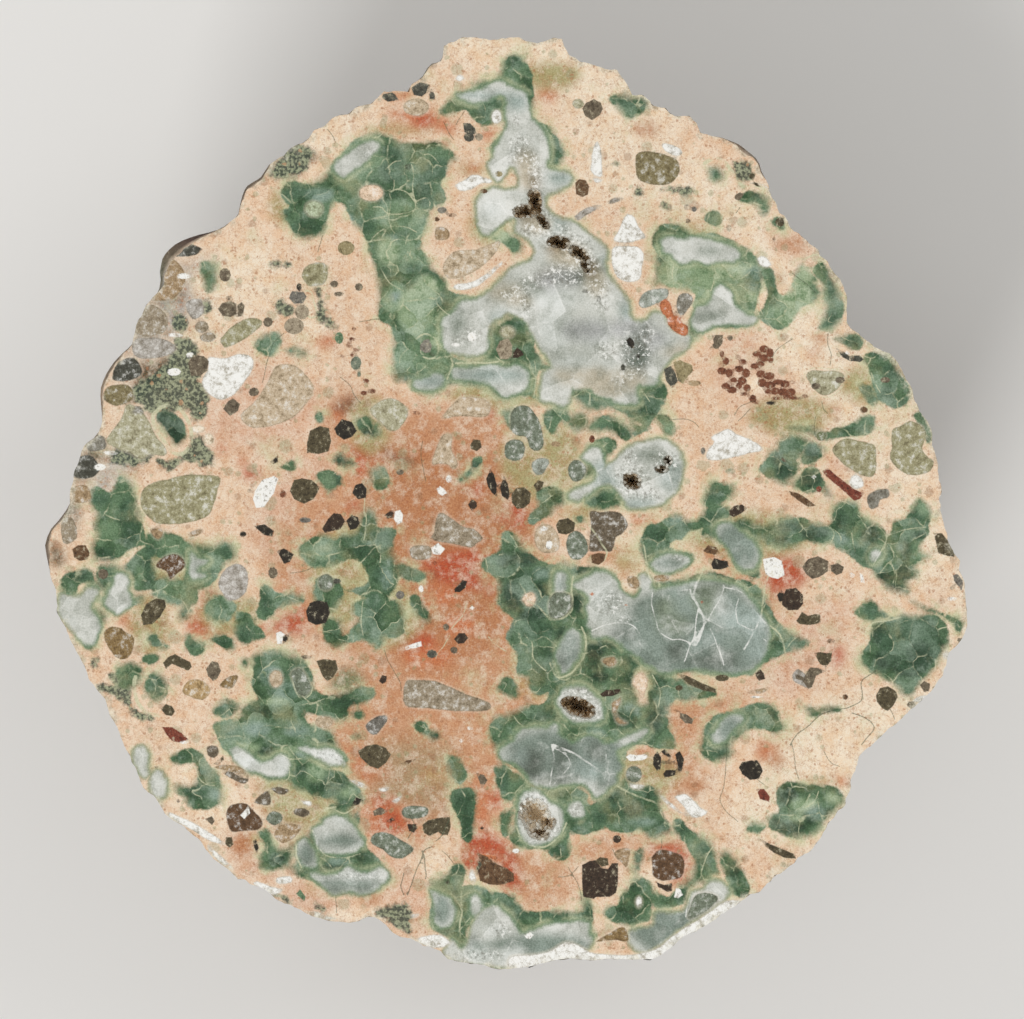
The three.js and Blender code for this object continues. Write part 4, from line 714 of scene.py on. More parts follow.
# Small single crystals, with straight edges. The black and dark grey spots near x 7.5 to 12.8 mm and y 13.8
# to 21.4 mm are painted shade in small pits of the quartz
CRYSTALS = """
khaki -164,257,8.5,7.2
dark_grey -127,411 -116,413 -111,405 -122,403 -128,407 / -99,417 -90,423 -80,420 -84,412 -88,408 -96,410 /
-81,410 -78,416 -75,410 -75,405 -80,406 / -47,382 -40,382 -35,377 -34,372 -38,370 -46,373 / -41,368,5.5,5
grey_tan -31,368,4.5,4 -89,414,2
khaki -11,331,4,3
brown -26,314,4,2.5 -58,290,5,2 -73,286,3,2.5
grey -68,295,5,3.5
black -102,338,3
umber -292,196 -288,202 -280,204 -274,202 -273,190 -280,188 -288,189 / -273,200 -268,203 -265,199 -267,189
-272,188 / -281,207,3.5,2.5 -285,230,6,7 -242,183,5 -256,113,5.5,4.5 -322,142 -316,150 -306,149 -301,144
-303,134 -310,129 -319,129 / -287,96 -282,104 -277,107 -270,101 -272,94 -280,89 / -260,14,3.5,2
white -255,14 -248,25 -236,29 -232,26 -236,12 -246,-2 -254,-3 -257,6 / -336,133,7,4 -320,150,4,3
-335,170,8,2 -410,38,6,3.5 -400,52,8,2 -326,229,7,3
slate -221,207 -218,214 -206,213 -203,208 -207,202 -216,201
black -211,218,2.8,4
grey_tan -208,193,7.5,7.5 -216,179,10,8.5
green -171,167,4.5,6
grey_green -154,142,5.5,7 -151,131,2,4
rust -156,176,2.5 -158,166,4,2 -161,160,3 -154,155,4,2 -158,150,2.5 -168,149,3,1.5 -146,112,3.5,2.5
-138,114,4,2.5 -144,124,3.5,2.5 -227,11,3.5,4 -94,92,4,2
dark_olive -200,74 -190,79 -181,77 -179,64 -181,54 -192,51 -203,52 -203,62 / -220,14 -216,25 -208,27
-198,25 -190,18 -196,6 -206,1 -216,6 / -40,60 -37,66 -30,65 -28,58 -33,54 -39,56
black -176,76 -168,86 -158,83 -153,74 -158,68 -166,65 -173,70 / -158,12 -155,20 -148,22 -143,16 -144,7
-152,6 / -240,43 -232,50 -232,43 -237,41 / -24,26 -20,36 -16,31 -13,20 -13,8 -18,12 -22,18 / -10,18 -6,29
-2,22 0,10 -2,5 -8,9
white -74,16 -70,19 -66,16 -63,12 -68,9 -72,12 / -61,26,3,4 -38,168,4.5,5 -54,160,5,2
grey -90,160 -86,165 -81,166 -78,159 -80,153 -85,152 -90,155
dark_brown -78,151,3,2.5 3,152 7,158 12,154 14,150 8,147 3,147
grey_tan -14,156 -10,164 -2,167 2,160 2,150 -2,146 -10,146
umber -176,221,4.5,3.5 -151,218,4 -171,211,5,2.5 -110,33,4,3 72,396 76,402 84,406 91,403 93,396 90,390
82,385 75,389 / 225,310 230,313 234,311 229,304 225,306 / 202,170 213,170 213,162 208,156 200,157 204,162 /
178,284,3,2.5 220,167,3
brown 65,322 69,326 76,325 79,319 78,310 72,308 66,311
slate 184,296,3 177,298,3 193,54,2.5,4
grey_green 219,277,2.5,3.5
rust 212,151,2.5,3.5 216,144,3.5,4 212,134,5,4 219,132,4,5 228,148,3,2.5 233,143,4,3 229,136,5,3.5
236,132,4.5,5 224,125,4,3 232,124,5,4.5 216,119,5,3.5 222,115,6,3.5 229,119,3.5 237,117,4 234,111,5,2
tan 184,122,7,3 46,61,5,3
khaki 163,143 170,145 182,140 183,134 176,126 173,121 168,124 166,132
dark_grey 154,136 161,139 165,132 168,124 162,117 156,124
dark_olive 1,10 6,17 14,18 21,12 20,2 14,-3 7,-4 2,2 / 23,20 28,25 34,23 32,16 27,13
rust 82,66,3,4
black 116,165 120,168 124,164 125,158 122,156 118,160 / 75,214,3.5,2 128,149,2.5,3
dark_grey 113,138,2.5,3.5 89,206,2,4
dark_olive -369,-110 -364,-99 -354,-93 -345,-95 -344,-102 -350,-112 -358,-119 -367,-120 / -347,-158
-342,-152 -335,-149 -328,-153 -320,-157 -318,-162 -322,-166 -330,-162 -338,-159 -344,-164 / -349,-204
-344,-199 -338,-201 -335,-206 -338,-211 -344,-210
brown -438,-44 -432,-40 -424,-40 -420,-48 -422,-54 -430,-56 -436,-52
umber -407,-69,5.5,5.5 -304,-164 -298,-156 -292,-157 -289,-166 -293,-174 -297,-176 -302,-171
dark_red -348,-222 -338,-222 -328,-228 -322,-234 -328,-238 -338,-236 -344,-229
white -326,-237,4.5,1.8
black -256,-21 -246,-19 -236,-26 -238,-32 -246,-30 -252,-25 / -267,-29,3.5,3 / -204,-106 -200,-98 -192,-95
-183,-97 -181,-102 -180,-108 -184,-118 -194,-120 -202,-116 / -164,-16 -158,-10 -152,-12 -150,-18 -154,-24
-160,-25 / -233,-46 -226,-43 -216,-49 -220,-57 -226,-59 -230,-52 / -228,-131 -220,-128 -222,-135 -227,-139
/ -56,-84 -52,-80 -48,-75 -43,-76 -44,-82 -50,-87 -55,-87
dark_brown -188,-24 -182,-14 -176,-8 -169,-9 -165,-16 -170,-24 -178,-26 -185,-28 / -125,-10 -120,-5 -116,-8
-116,-12 -122,-14 / -56,-134 -51,-128 -45,-128 -42,-133 -46,-138 -52,-139 / -131,-176 -128,-170 -123,-171
-124,-177 -128,-179 / -42,0 -38,6 -33,3 -33,-2 -38,-6 / -75,-58,2.5,2
white -115,-6 -110,-5 -107,-10 -108,-17 -113,-20 -116,-14 / -79,-43 -72,-38 -65,-44 -70,-50 -77,-49 /
-105,-142 -98,-139 -89,-136 -88,-141 -98,-144 -104,-145 / -234,-128 -229,-126 -226,-129 -228,-139 -233,-139
/ -89,-84,2.5,3.5 -38,-103,2.5,2 -40,-223,3.5,2 -49,-236,2
umber -237,-68,5,6 -64,-122,3.5 -56,-145,4,3.5 -204,-152,6,2
dark_grey -78,-149,5.5,4.5 -173,-76,4,3
slate -110,-90,4.5 -205,-15,6,3
dark_olive -194,-156 -186,-154 -174,-155 -172,-164 -177,-172 -183,-176 -188,-170 -191,-162 / 46,-20 49,-15
58,-13 65,-18 64,-26 56,-30 48,-28 / 168,-169 176,-170 194,-179 206,-184 206,-188 194,-186 178,-179 /
212,-173,7,3.5 169,-183,4,3
brown 81,-50 88,-48 96,-49 94,-56 89,-60 82,-58 / 193,-46 198,-40 206,-42 210,-48 204,-50 197,-48 /
166,-206,3.5,1.2 321,-136,4,2.5 335,-192,3,3
white 39,-40,3.5,4.5 34,-24,4.5,2.5 6,-346,3.5,2.5 116,-252 120,-249 126,-250 136,-249 138,-252 133,-255
120,-256 / 164,-392 166,-383 170,-384 173,-390 168,-393 / 14,-430 20,-427 24,-430 20,-434 16,-433 / 253,-54
264,-52 272,-56 275,-70 268,-74 260,-72 256,-69 254,-62 / 342,-70,3,2.5 350,-68 353,-70 355,-78 351,-77 /
304,28,2.5,2 337,152,3,1.5 246,-192,8,1.2 442,-94,5,2
dark_brown 90,-189 96,-185 110,-184 112,-188 102,-191 92,-192 / 219,-6 224,-1 232,1 237,-3 232,-8 224,-12
220,-10 / 72,-360 80,-356 86,-355 92,-363 98,-364 102,-358 108,-358 108,-378 106,-388 100,-392 86,-392
84,-394 73,-392 72,-376 / 107,-334,4.5,4.2 146,-377 154,-380 162,-378 162,-386 158,-387 148,-382 / 245,-168
250,-164 254,-168 255,-174 249,-176 246,-172 / 272,-92 276,-84 286,-83 293,-90 293,-99 288,-105 278,-105
272,-100
black 201,-59 204,-53 210,-55 218,-56 219,-62 210,-65 203,-64 / 143,-252 147,-246 151,-252 151,-264
147,-266 143,-260 / 151,-246 155,-244 161,-251 160,-253 153,-249 / 165,-249 170,-246 174,-254 172,-266
168,-266 167,-258 / 153,-269 156,-265 166,-265 169,-268 163,-271 155,-273 / 150,-256 164,-256 165,-259
150,-258.5 / 229,-262 232,-257 242,-255 250,-259 253,-266 249,-274 240,-275 232,-269 / 267,-90 271,-85
274,-88 273,-96 269,-97 / 261,102,5,2 290,107,3,1
umber 170,-208 176,-209 184,-214 182,-219 175,-218 170,-213 / 292,-62 298,-54 308,-51 318,-56 318,-66
310,-72 302,-74 296,-69 / 320,-60 328,-58 334,-62 332,-68 326,-70 321,-66 / 284,-168 294,-172 300,-162
308,-163 316,-166 306,-171 302,-182 298,-184 292,-176 286,-174 / 410,-180 414,-176 420,-179 420,-186
414,-187 / 402,-200,5,4 442,-83,2.5 450,-135,3 330,125,5,3.5 306,119,5,3.5 375,125,5,3 274,45,4,1.5,-30
dark_olive 86,-355 90,-352 98,-353 99,-360 92,-362 88,-359 / 286,-116 292,-107 298,-111 304,-109 310,-109
311,-118 300,-120 289,-119 / 304,-148 310,-147 316,-148 322,-148 321,-156 316,-162 310,-159 / 366,-190
370,-183 378,-181 386,-186 388,-192 384,-200 378,-206 372,-203 367,-197 / 424,-28 432,-28 438,-36 444,-46
445,-52 438,-51 428,-48 426,-38
orange 82,-89,2.2,1.8 116,-100,1.8,1
red 192,-97,1.5
slate 443,-70 447,-68 453,-76 452,-88 449,-82 444,-76
dark_grey 326,157 334,153 340,149 350,150 354,146 350,143 340,144 332,148
dark_red 312,34 318,37 326,30 336,22 344,16 354,12 350,6 344,4 336,12 324,22 316,29 / 309,16,3,3
brown 279,14 288,12 298,6 306,-1 298,-2 289,4 281,10 / 354,95,4.2,3.6
rust 254,156,5,4 260,152,4,5 247,151,5,3 254,147,6,4 261,145,3 250,141,5,3 245,139,5,3 251,131,5,4
259,129,6,4 252,122,5,4.5 260,120,6,4 268,123,6,3 275,121,5,4 282,123,3.5,2 265,114,5,4 273,113,6,4
281,113,5,4 278,108,6,3 284,107,4,2 266,107,5,2 295,109,4,2 258,114,4,3 243,106,4,4.5 246,102,3,1.5
dark_olive -152,-246 -144,-241 -134,-239 -124,-243 -119,-250 -124,-258 -132,-264 -140,-261 -144,-258
-150,-252 / -88,-320 -82,-315 -72,-313 -60,-312 -59,-322 -62,-330 -68,-330 -72,-327 -80,-331 -86,-328 /
250,-334 260,-339 272,-344 284,-349 286,-354 274,-353 264,-348 256,-342 / -284,-332 -278,-332 -276,-339
-280,-343 -285,-339 / -297,-259 -287,-251 -286,-255 -292,-260 / 242,329,3.5,3 270,283,5,5 246,321,5,1.5,-30
umber -137,-306 -130,-302 -122,-306 -128,-310 -136,-311 / -305,-314 -298,-311 -295,-316 -298,-320 /
-34,-268 -26,-270 -22,-276 -28,-283 -31,-276
brown -109,-259 -103,-255 -94,-254 -102,-259 / 264,266,1.5,2.5 / -33,-348 -22,-351 -16,-358 -4,-363 4,-368
4,-376 -10,-380 -20,-380 -30,-376 -32,-366 -28,-360
dark_brown -103,-319 -94,-319 -93,-323 -96,-328 -101,-326 / -124,-316 -118,-312 -115,-315 -120,-318 /
-62,-377,2.5,2.5 -332,-296,2,2 -354,-262,3,1.2
black -257,-336 -254,-334 -251,-342 -253,-349 -256,-342 / -159,-301 -154,-292 -147,-295 -152,-300 /
-28,-323,2.5,1.8 246,-263,4,8
white -270,-310 -264,-304 -262,-300 -260,-308 -266,-314
dark_red 246,-284 254,-284 260,-292 259,-297 250,-294
green -210,-384 -204,-392 -206,-396 -214,-389
orange -30,-349 -16,-350 -4,-359 -16,-355
"""
# Moss-like dark green
MOSS = """
green -340,154 -332,168 -316,166 -310,154 -320,146 -322,136 -314,128 -306,120 -302,104 -304,90 -316,84
-320,92 -334,100 -350,100 -360,92 -366,94 -372,106 -354,112 -346,124 -342,136 / -364,50 -350,46 -332,49
-320,58 -316,72 -308,66 -300,56 -295,48 -296,40 -306,38 -314,44 -326,42 -336,36 -346,37 -354,44 / -322,192
-314,203 -304,206 -296,196 -306,192 / -236,204 -228,206 -216,196 -220,188 -228,188 / -195,216 -188,214
-186,204 -182,192 -174,186 -173,179 -180,176 -186,182 -194,187 -192,202 / -230,240,12,4 -212,350,16,10
128,312,6,5 178,315,6,5 155,300,7,3 103,341,6,1.5 164,316,12,4 -346,216,8,10 -330,182,8,9 222,342 230,346
240,342 244,330 238,322 228,326 224,334 / -402,-168 -392,-166 -380,-170 -376,-172 -382,-179 -380,-188
-376,-200 -366,-208 -354,-212 -362,-218 -374,-212 -388,-198 -400,-190 -414,-184 -410,-178 -398,-178 /
-416,-158,5,7
dark_moss -130,-404 -116,-400 -106,-396 -99,-406 -100,-426 -110,-424 -120,-418 -128,-414 -136,-410
brown_moss -32,-350 -24,-352 -14,-360 0,-368 4,-374 -8,-379 -22,-378 -31,-370 -32,-362 / -240,-388
-226,-390 -218,-396 -224,-398 / -194,-398 -184,-402 -188,-408 -196,-404
dark_moss -360,130 -330,150 -310,130 -320,100 -350,90 -380,110 / -390,66 -370,74 -350,58 -370,40 -400,42 /
-236,340 -210,356 -200,340 -220,326 -240,328
"""
# Where small quartz points sit on the cut, shown with painted glints and painted shade
SPARKLES = """
white 6,386,5,7 10,360,12,12 14,346,18,7 26,330,8,16 34,290,12,14 22,274,16,8 50,270,18,10 68,256,16,14
76,240,14,12 54,230,22,12 24,224,16,8 8,210,14,10 18,194,9,9 88,216,14,10 92,200,9,7 98,154,14,10
126,154,18,18 136,170,10,10 124,134,16,8 112,126,9,5 -38,170,12,7 -52,163,8,5 -6,210,6,4 122,26,19,19
134,12,16,9 120,46,8,11 156,44,14,12 146,6,8,5 -140,352,7,5 / 70,-189,19,8 86,-206,8,9 70,-214,16,4
100,-96,14,12 114,-114,8,5 98,-106,12,5 170,-52,9,5 144,-38,5,8 24,-296,16,10 14,-310,7,14 34,-324,16,13
66,-305,7,7 / -170,-249,12,9 -190,-250,10,5 -156,-370,30,4 -10,-425,12,8 -30,-450,26,6 286,-324,16,7
-274,-355,7,7
"""
# Patches along the edge, on the rough wall. The darkest ones, at the upper left, upper right and left, are
# painted shade
RIND = """
rind_dark 280,360,30
grey_rind -370,-266,9,16,20 -352,-284,10,9 -292,-350,18,7,-38 -312,-336,10,5,-38 -110,-418,16,9
238,342,9,10 304,254,7,4 272,283,7,6 360,-244,8,4 324,-310,8,5 316,-324,6,5 272,-356,9,4,-30
rind_dark -340,270 -280,300 -240,330 -260,290 -310,250 / -450,-20 -430,20 -440,-60 -470,-60
"""
# Pale lines, open
PALE_LINES = """
line -124,336 -116,343 -109,345 / -99,340 -96,330 -97,316 -95,302 -95,295 / -125,314 -115,316 -104,313
-97,305 / -93,304 -84,307 -80,302 -81,296 / -137,298 -128,297 -122,292 -110,291 -100,293 -92,296 -82,293 /
-141,262 -130,274 -118,279 -104,278 -94,273 / -124,254 -116,264 -106,265 -99,260 -100,250 / -122,246
-124,254 -128,266 -124,274 / -86,350 -80,350 -72,342 / -155,285 -152,276 -146,270 / -138,286 -130,288
-120,288 -118,282 / -129,236 -120,222 -106,214 / -73,212 -73,202 -66,194 -60,190 / -102,156 -109,150
-110,142
vein -63,126 -60,132 -57,140 -59,147 / -54,142 -40,143 -24,142 -12,144 / -204,214 -198,212 -195,200
-193,190 -198,187 -203,190 / -94,166 -86,171 -76,168 -72,160 -73,150 -80,146 -87,148
band -355,92 -348,98 -338,99 -328,93 -321,82 -318,69 -320,59 -328,51 -336,52 -342,58 -350,69 -356,80
-357,90 / 194,342 202,346 212,344 220,336 226,326 234,318 / -374,-172 -376,-184 -372,-198 -362,-208
-350,-210
line 24,144 26,134 25,120 24,108 / 129,120 133,112 140,104 / 164,240 162,230 164,220 / 202,240 204,226
201,214 / 224,218 230,220 238,214 / -44,-96 -46,-106 -50,-114 -58,-123 / -60,-130 -66,-140 -72,-148
-74,-154 / -147,-130 -149,-116 -148,-102 -145,-90 -140,-82 / -152,-60 -144,-52 -136,-44 -128,-40 / -130,-58
-129,-48 -130,-40 / -220,-160 -218,-174 -214,-186 -208,-194 -200,-190 -197,-182 / -144,-10 -144,-24
-146,-36 / -22,-132 -14,-140 -4,-146 / -143,22 -145,6 -146,-10 / 142,-88 142,-100 146,-116 150,-128
160,-134 170,-134 180,-138 / 180,-84 182,-92 188,-100 186,-114 184,-130 178,-146 174,-156 / 188,-106
198,-116 / 213,-80 212,-90 204,-104 194,-120 186,-132 180,-140 / 212,-82 224,-84 232,-88 / 228,-94 226,-104
228,-118 236,-122 248,-128 256,-136 / 82,-126 96,-120 108,-118 122,-120 130,-130 128,-138 / 200,-124
206,-136 210,-148 214,-160 / 42,-240 44,-254 42,-264 40,-280 / 42,-242 56,-250 60,-260 54,-268 44,-279 /
96,-250 96,-264 94,-274 / 202,-342 194,-358 190,-372 180,-390 176,-412 / 194,-44 202,-48 208,-52 207,-60
vein 44,-240 60,-246 76,-256 92,-268 106,-280 120,-288 140,-296 150,-300 / 132,-34 135,-46 137,-58 139,-70
142,-76 / 79,-20 86,-30 92,-40 97,-48 92,-58 / 63,-72 62,-86 63,-100 58,-110 46,-115 38,-112 26,-100 18,-96
/ 72,-122 76,-134 75,-148 70,-158 62,-168 50,-173 44,-168 40,-158 / 6,-320 12,-334 24,-341 38,-340 50,-330
56,-318
line 320,-22 324,-30 320,-40 / 342,-28 343,-36 345,-46 / 366,-20 374,-28 376,-36 370,-48 364,-60 / 378,-30
390,-26 402,-24 416,-22 / 380,-40 384,-52 376,-60 370,-68 / 382,-60 385,-70 383,-78 / 242,210 248,208
250,196 256,184 264,174 / 288,30 296,38 304,42 / 362,132 365,122 371,112 / 286,74 298,69 306,62 314,62
328,65 350,68 366,72 / 296,122 295,132 304,137 320,136 336,134 336,124 328,113 314,108 304,113
vein 358,-122 364,-118 376,-116 390,-112
line -229,-250 -220,-254 -206,-254 -196,-258 -186,-261 / -221,-256 -220,-270 -224,-275 / -180,-264
-182,-274 -184,-286 / -176,-304 -166,-308 -154,-302 / -314,-262 -311,-272 -304,-279 -296,-280 / -190,-344
-186,-350 -174,-353 -160,-352 -150,-349 / -161,-353 -160,-358 / 270,-310 282,-310 290,-304 300,-300
306,-294 308,-287
vein -198,-326 -194,-334 -192,-344 / -214,-338 -214,-350 -208,-362 / -189,-312 -182,-304 -174,-302 /
-48,-386 -49,-396 -48,-406 -50,-418 -50,-432 / -186,-303 -190,-310 -200,-316 / 238,319 252,318 262,308
266,298 / 294,246 304,250 312,248 / 244,302 252,299 259,294
line 10,-124 22,-136 34,-132 46,-142 / 22,-136 24,-154 36,-166 / 142,-170 150,-186 148,-202
vein 266,-54 254,-84 250,-114 234,-144 / 250,-114 270,-130 276,-152 / 194,-62 184,-90 194,-116 186,-140
"""
# Dark cracks, open
CRACKS = """
fine -184,376 -178,370 -174,363 / -187,270 -190,260 -192,253 / -66,383 -62,374 -56,366 / -46,394 -50,387
-54,380 / -170,128 -160,120 -156,110 -149,102 / -226,172 -236,162 -242,146 -248,122 / -150,183 -136,186
-130,186 / -87,64 -89,50 -86,34 -84,24 / -126,-144 -122,-156 -116,-166 -110,-178 -109,-186 / -220,-68
-208,-66 -198,-62 / 244,104 234,100 228,96 224,90 / 240,96 232,88 228,84 / 158,85 170,86 182,84 189,78 /
230,298 226,292
line 280,-240 288,-229 300,-220 310,-210 324,-205 338,-203 346,-199 352,-194 351,-184 352,-176 360,-170
366,-166 / 342,-208 354,-212 364,-222 356,-234 352,-240
fine 380,-204 384,-212 386,-218 / 216,-240 216,-260 214,-280 210,-294 216,-306 228,-316 / 103,-344 108,-354
/ 58,-362 64,-372 70,-384 71,-396 / 48,-372 60,-370 68,-362 / 152,-334 151,-342 150,-350 / 262,148 268,156
274,161 282,166 / 282,232 290,226 298,220 306,212 / 318,172 318,160 321,150 320,140 / 312,104 314,96 318,92
/ 306,88 304,78 306,68
line -100,-310 -96,-320 -102,-334 / -60,-314 -68,-330 -74,-336 / -88,-346 -86,-352 -84,-368 -85,-374 /
-78,-342 -86,-346 -90,-358 -96,-372 -102,-390 / -106,-368 -109,-380 -106,-390
fine -236,-308 -232,-314 -230,-320 / -174,-392 -173,-408 / -202,-284 -196,-294 / -68,-346 -56,-358 /
284,-250 286,-264 289,-274 / 314,-246 320,-256 330,-262 / 247,-274 254,-280 / 282,-240 284,-248
"""


def linear(colour):
    """Linear light for a 0 to 255 sRGB colour."""
    part = np.array(colour) / 255
    return np.where(part <= 0.04045, part / 12.92, ((part + 0.055) / 1.055) ** 2.4)


def smooth(share):
    """0 to 1 with soft ends."""
    share = np.clip(share, 0, 1)
    return share * share * (3 - 2 * share)


def scatter(x, y, z, seed):
    """Random number from 0 to 1 for each whole-number place."""
    mixed = (x * 374761393 + y * 668265263 + z * 974711 + seed * 144665) & 0xFFFFFFFF
    mixed = ((mixed ^ (mixed >> 13)) * 1274126177) & 0xFFFFFFFF
    return (mixed ^ (mixed >> 16)) / 0xFFFFFFFF


def noise(spots, size, seed=0):
    """Smooth random value from -1 to 1 at each spot, whose swells are size apart."""
    places = np.zeros((len(spots), 3))
    places[:, : spots.shape[1]] = spots / size
    low = np.floor(places).astype(np.int64)
    part = places - low
    part = part * part * (3 - 2 * part)
    value = np.zeros(len(spots))
    for corner in range(8):
        step = np.array([corner & 1, corner >> 1 & 1, corner >> 2])
        weight = np.prod(np.where(step, part, 1 - part), axis=1)
        value += weight * scatter(*(low + step).T, seed)
    return 2 * value - 1


def clouds(spots, size, seed=0, layers=3):
    """Noise with finer and weaker noise added."""
    value = np.zeros(len(spots))
    for layer in range(layers):
        value += noise(spots, size / 2**layer, seed + 17 * layer) / 2**layer
    return value / (2 - 2 / 2**layers)


# Outlines


def features(table):
    """The (word, points) rows of a table, in mm. A word is followed by the points x,y of one outline,
    or by ellipses x,y,half width,half height,turn, of which the last two may be left out. All are in
    tenths of a mm, but the turn in degrees. A slash starts another outline under the same word."""
    rows = []
    word = None
    points = []
    for piece in table.split() + ["/"]:
        if piece == "/" or piece[0].isalpha():
            if points:
                rows.append((word, 0.1 * np.array(points)))
            points = []
            word = word if piece == "/" else piece
            continue
        numbers = [float(number) for number in piece.split(",")]
        if len(numbers) == 2:
            points.append(numbers)
        else:
            rows.append((word, ellipse(*numbers)))
    return rows


def turned(points, degrees):
    """The points turned about the middle."""
    cos, sin = math.cos(math.radians(degrees)), math.sin(math.radians(degrees))
    return points @ np.array([[cos, sin], [-sin, cos]])


def ellipse(x, y, wide, high=None, turn=0.0):
    """Points in mm around a turned ellipse whose sizes are in tenths of a mm."""
    high = wide if high is None else high
    x, y, wide, high = 0.1 * np.array([x, y, wide, high])
    count = int(np.clip(2 * math.pi * max(wide, high) / OUTLINE_STEP, 8, 40))
    angle = np.arange(count) * 2 * math.pi / count
    local = np.stack([wide * np.cos(angle), high * np.sin(angle)], axis=1)
    return turned(local, turn) + (x, y)


def curved(points, closed=True):
    """A smooth curve through the points."""
    before = np.roll(points, 1, axis=0)
    after = np.roll(points, -1, axis=0)
    beyond = np.roll(points, -2, axis=0)
    if not closed:
        before[0] = points[0]
        after[-1] = points[-1]
        beyond[-2:] = points[-1]
    curve = []
    for share in (0.0, 0.25, 0.5, 0.75):
        square, cube = share**2, share**3
        curve.append(
            points * (1 - 2.5 * square + 1.5 * cube)
            + after * (0.5 * share + 2 * square - 1.5 * cube)
            + before * (square - 0.5 * share - 0.5 * cube)
            + beyond * (0.5 * cube - 0.5 * square)
        )
    joined = np.stack(curve, axis=1).reshape(-1, 2)
    return joined if closed else joined[:-3]


def even(points, step, closed=True):
    """The same line with points a step apart, keeping its corners."""
    result = []
    last = len(points) if closed else len(points) - 1
    for index in range(last):
        start = points[index]
        end = points[(index + 1) % len(points)]
        pieces = max(1, round(float(np.linalg.norm(end - start)) / step))
        for piece in range(pieces):
            result.append(start + (end - start) * piece / pieces)
    if not closed:
        result.append(points[-1])
    return np.array(result)


def thinned(points, step):
    """The line without points that crowd closer than half a step."""
    kept = [points[0]]
    for point in points[1:]:
        if np.linalg.norm(point - kept[-1]) > 0.5 * step:
            kept.append(point)
    return np.array(kept)


def wobbled(points, amount, size=1.1, seed=5):
    """The points moved a little, as nothing in stone is drawn with a ruler."""
    shift = np.stack([clouds(points, size, seed), clouds(points, size, seed + 1)], axis=1)
    return points + amount * shift


def outlines(table, amount, rounded=True):
    """The rows of a table as finished outlines."""
    rows = []
    for word, points in features(table):
        shape = curved(points) if rounded else points
        shape = thinned(even(shape, OUTLINE_STEP), OUTLINE_STEP)
        if len(shape) > 2:
            rows.append((word, wobbled(shape, amount)))
    return rows


def strokes(table, amount):
    """The rows of a table as finished open lines."""
    rows = []
    for word, points in features(table):
        shape = curved(points, closed=False) if len(points) > 2 else points
        rows.append((word, wobbled(even(shape, LINE_STEP, closed=False), amount)))
    return rows


def near(spots, shape, reach):
    """Which spots are within reach of a shape's box."""
    low = shape.min(axis=0) - reach
    high = shape.max(axis=0) + reach
    return np.nonzero(np.all((spots > low) & (spots < high), axis=1))[0]


def line_distance(spots, points, closed):
    """Distance of each spot from a line, below 0 inside a closed one."""
    nearest = np.full(len(spots), 1e9)
    inside = np.zeros(len(spots), dtype=bool)
    x, y = spots.T
    last = len(points) if closed else len(points) - 1
    for index in range(last):
        start = points[index]
        along = points[(index + 1) % len(points)] - start
        away = spots - start
        share = np.clip(away @ along / max(float(along @ along), 1e-12), 0, 1)
        gap = away - share[:, None] * along
        nearest = np.minimum(nearest, gap[:, 0] ** 2 + gap[:, 1] ** 2)
        if closed:
            crosses = (start[1] > y) != (start[1] + along[1] > y)
            rise = along[1] if along[1] else 1e-12
            inside ^= crosses & (x < start[0] + along[0] * (y - start[1]) / rise)
    nearest = np.sqrt(nearest)
    return np.where(inside, -nearest, nearest) if closed else nearest


def crisp_layer(spots, rows):
    """The colour of the nearest outline and the distance from it, for each spot."""
    layer = np.full((len(spots), 4), REACH)
    layer[:, :3] = 0.2
    for word, shape in rows:
        index = near(spots, shape, REACH)
        distance = line_distance(spots[index], shape, closed=True)
        closer = distance < layer[index, 3]
        index = index[closer]
        layer[index, :3] = linear(PALETTE[word])
        layer[index, 3] = np.maximum(distance[closer], -REACH)
    return layer


def line_layer(spots, rows, widths):
    """How far each spot lies outside the nearest line's edge."""
    layer = np.full(len(spots), REACH)
    for word, points in rows:
        index = near(spots, points, REACH)
        distance = line_distance(spots[index], points, closed=False) - widths[word]
        layer[index] = np.minimum(layer[index], distance)
    return layer


def paint(colour, spots, rows, softness):
    """Lays the rows' colours over each other with soft edges."""
    for word, shape in rows:
        index = near(spots, shape, softness)
        distance = line_distance(spots[index], shape, closed=True)
        cover = smooth(0.5 - distance / (2 * softness))[:, None]
        colour[index] += (linear(PALETTE[word]) - colour[index]) * cover


# The stone's mesh


def select_only(piece):
    bpy.ops.object.select_all(action="DESELECT")
    piece.select_set(True)
    bpy.context.view_layer.objects.active = piece


def linked(name, mesh):
    piece = bpy.data.objects.new(name, mesh)
    bpy.context.scene.collection.objects.link(piece)
    return piece


def mesh_piece(name, vertices, faces):
    mesh = bpy.data.meshes.new(name)
    mesh.from_pydata(vertices, [], faces)
    return linked(name, mesh)


def vertex_places(mesh):
    """Where the mesh's vertices are, in mm."""
    places = np.zeros(len(mesh.vertices) * 3)
    mesh.vertices.foreach_get("co", places)
    return places.reshape(-1, 3) / MM


def deepness(spots):
    """How far below the face the hollows reach at each spot, and which way their walls face."""
    deepest = np.zeros(len(spots))
    slope = np.zeros((len(spots), 2))
    ragged = 1 + 0.1 * noise(spots, 0.6, 40) + 0.06 * noise(spots, 0.25, 41)
    for pods in HOLLOWS.values():
        for x, y, wide, high, turn, deep in pods:
            away = turned(spots - (x, y), -turn)
            reach = np.hypot(away[:, 0] / wide, away[:, 1] / high) * ragged
            depth = deep * np.sqrt(np.clip(1 - reach**2, 0, 1))
            deeper = depth > deepest
            inward = turned(-away / (wide**2, high**2), turn)
            slope[deeper] = inward[deeper]
            deepest[deeper] = depth[deeper]
    return deepest, slope


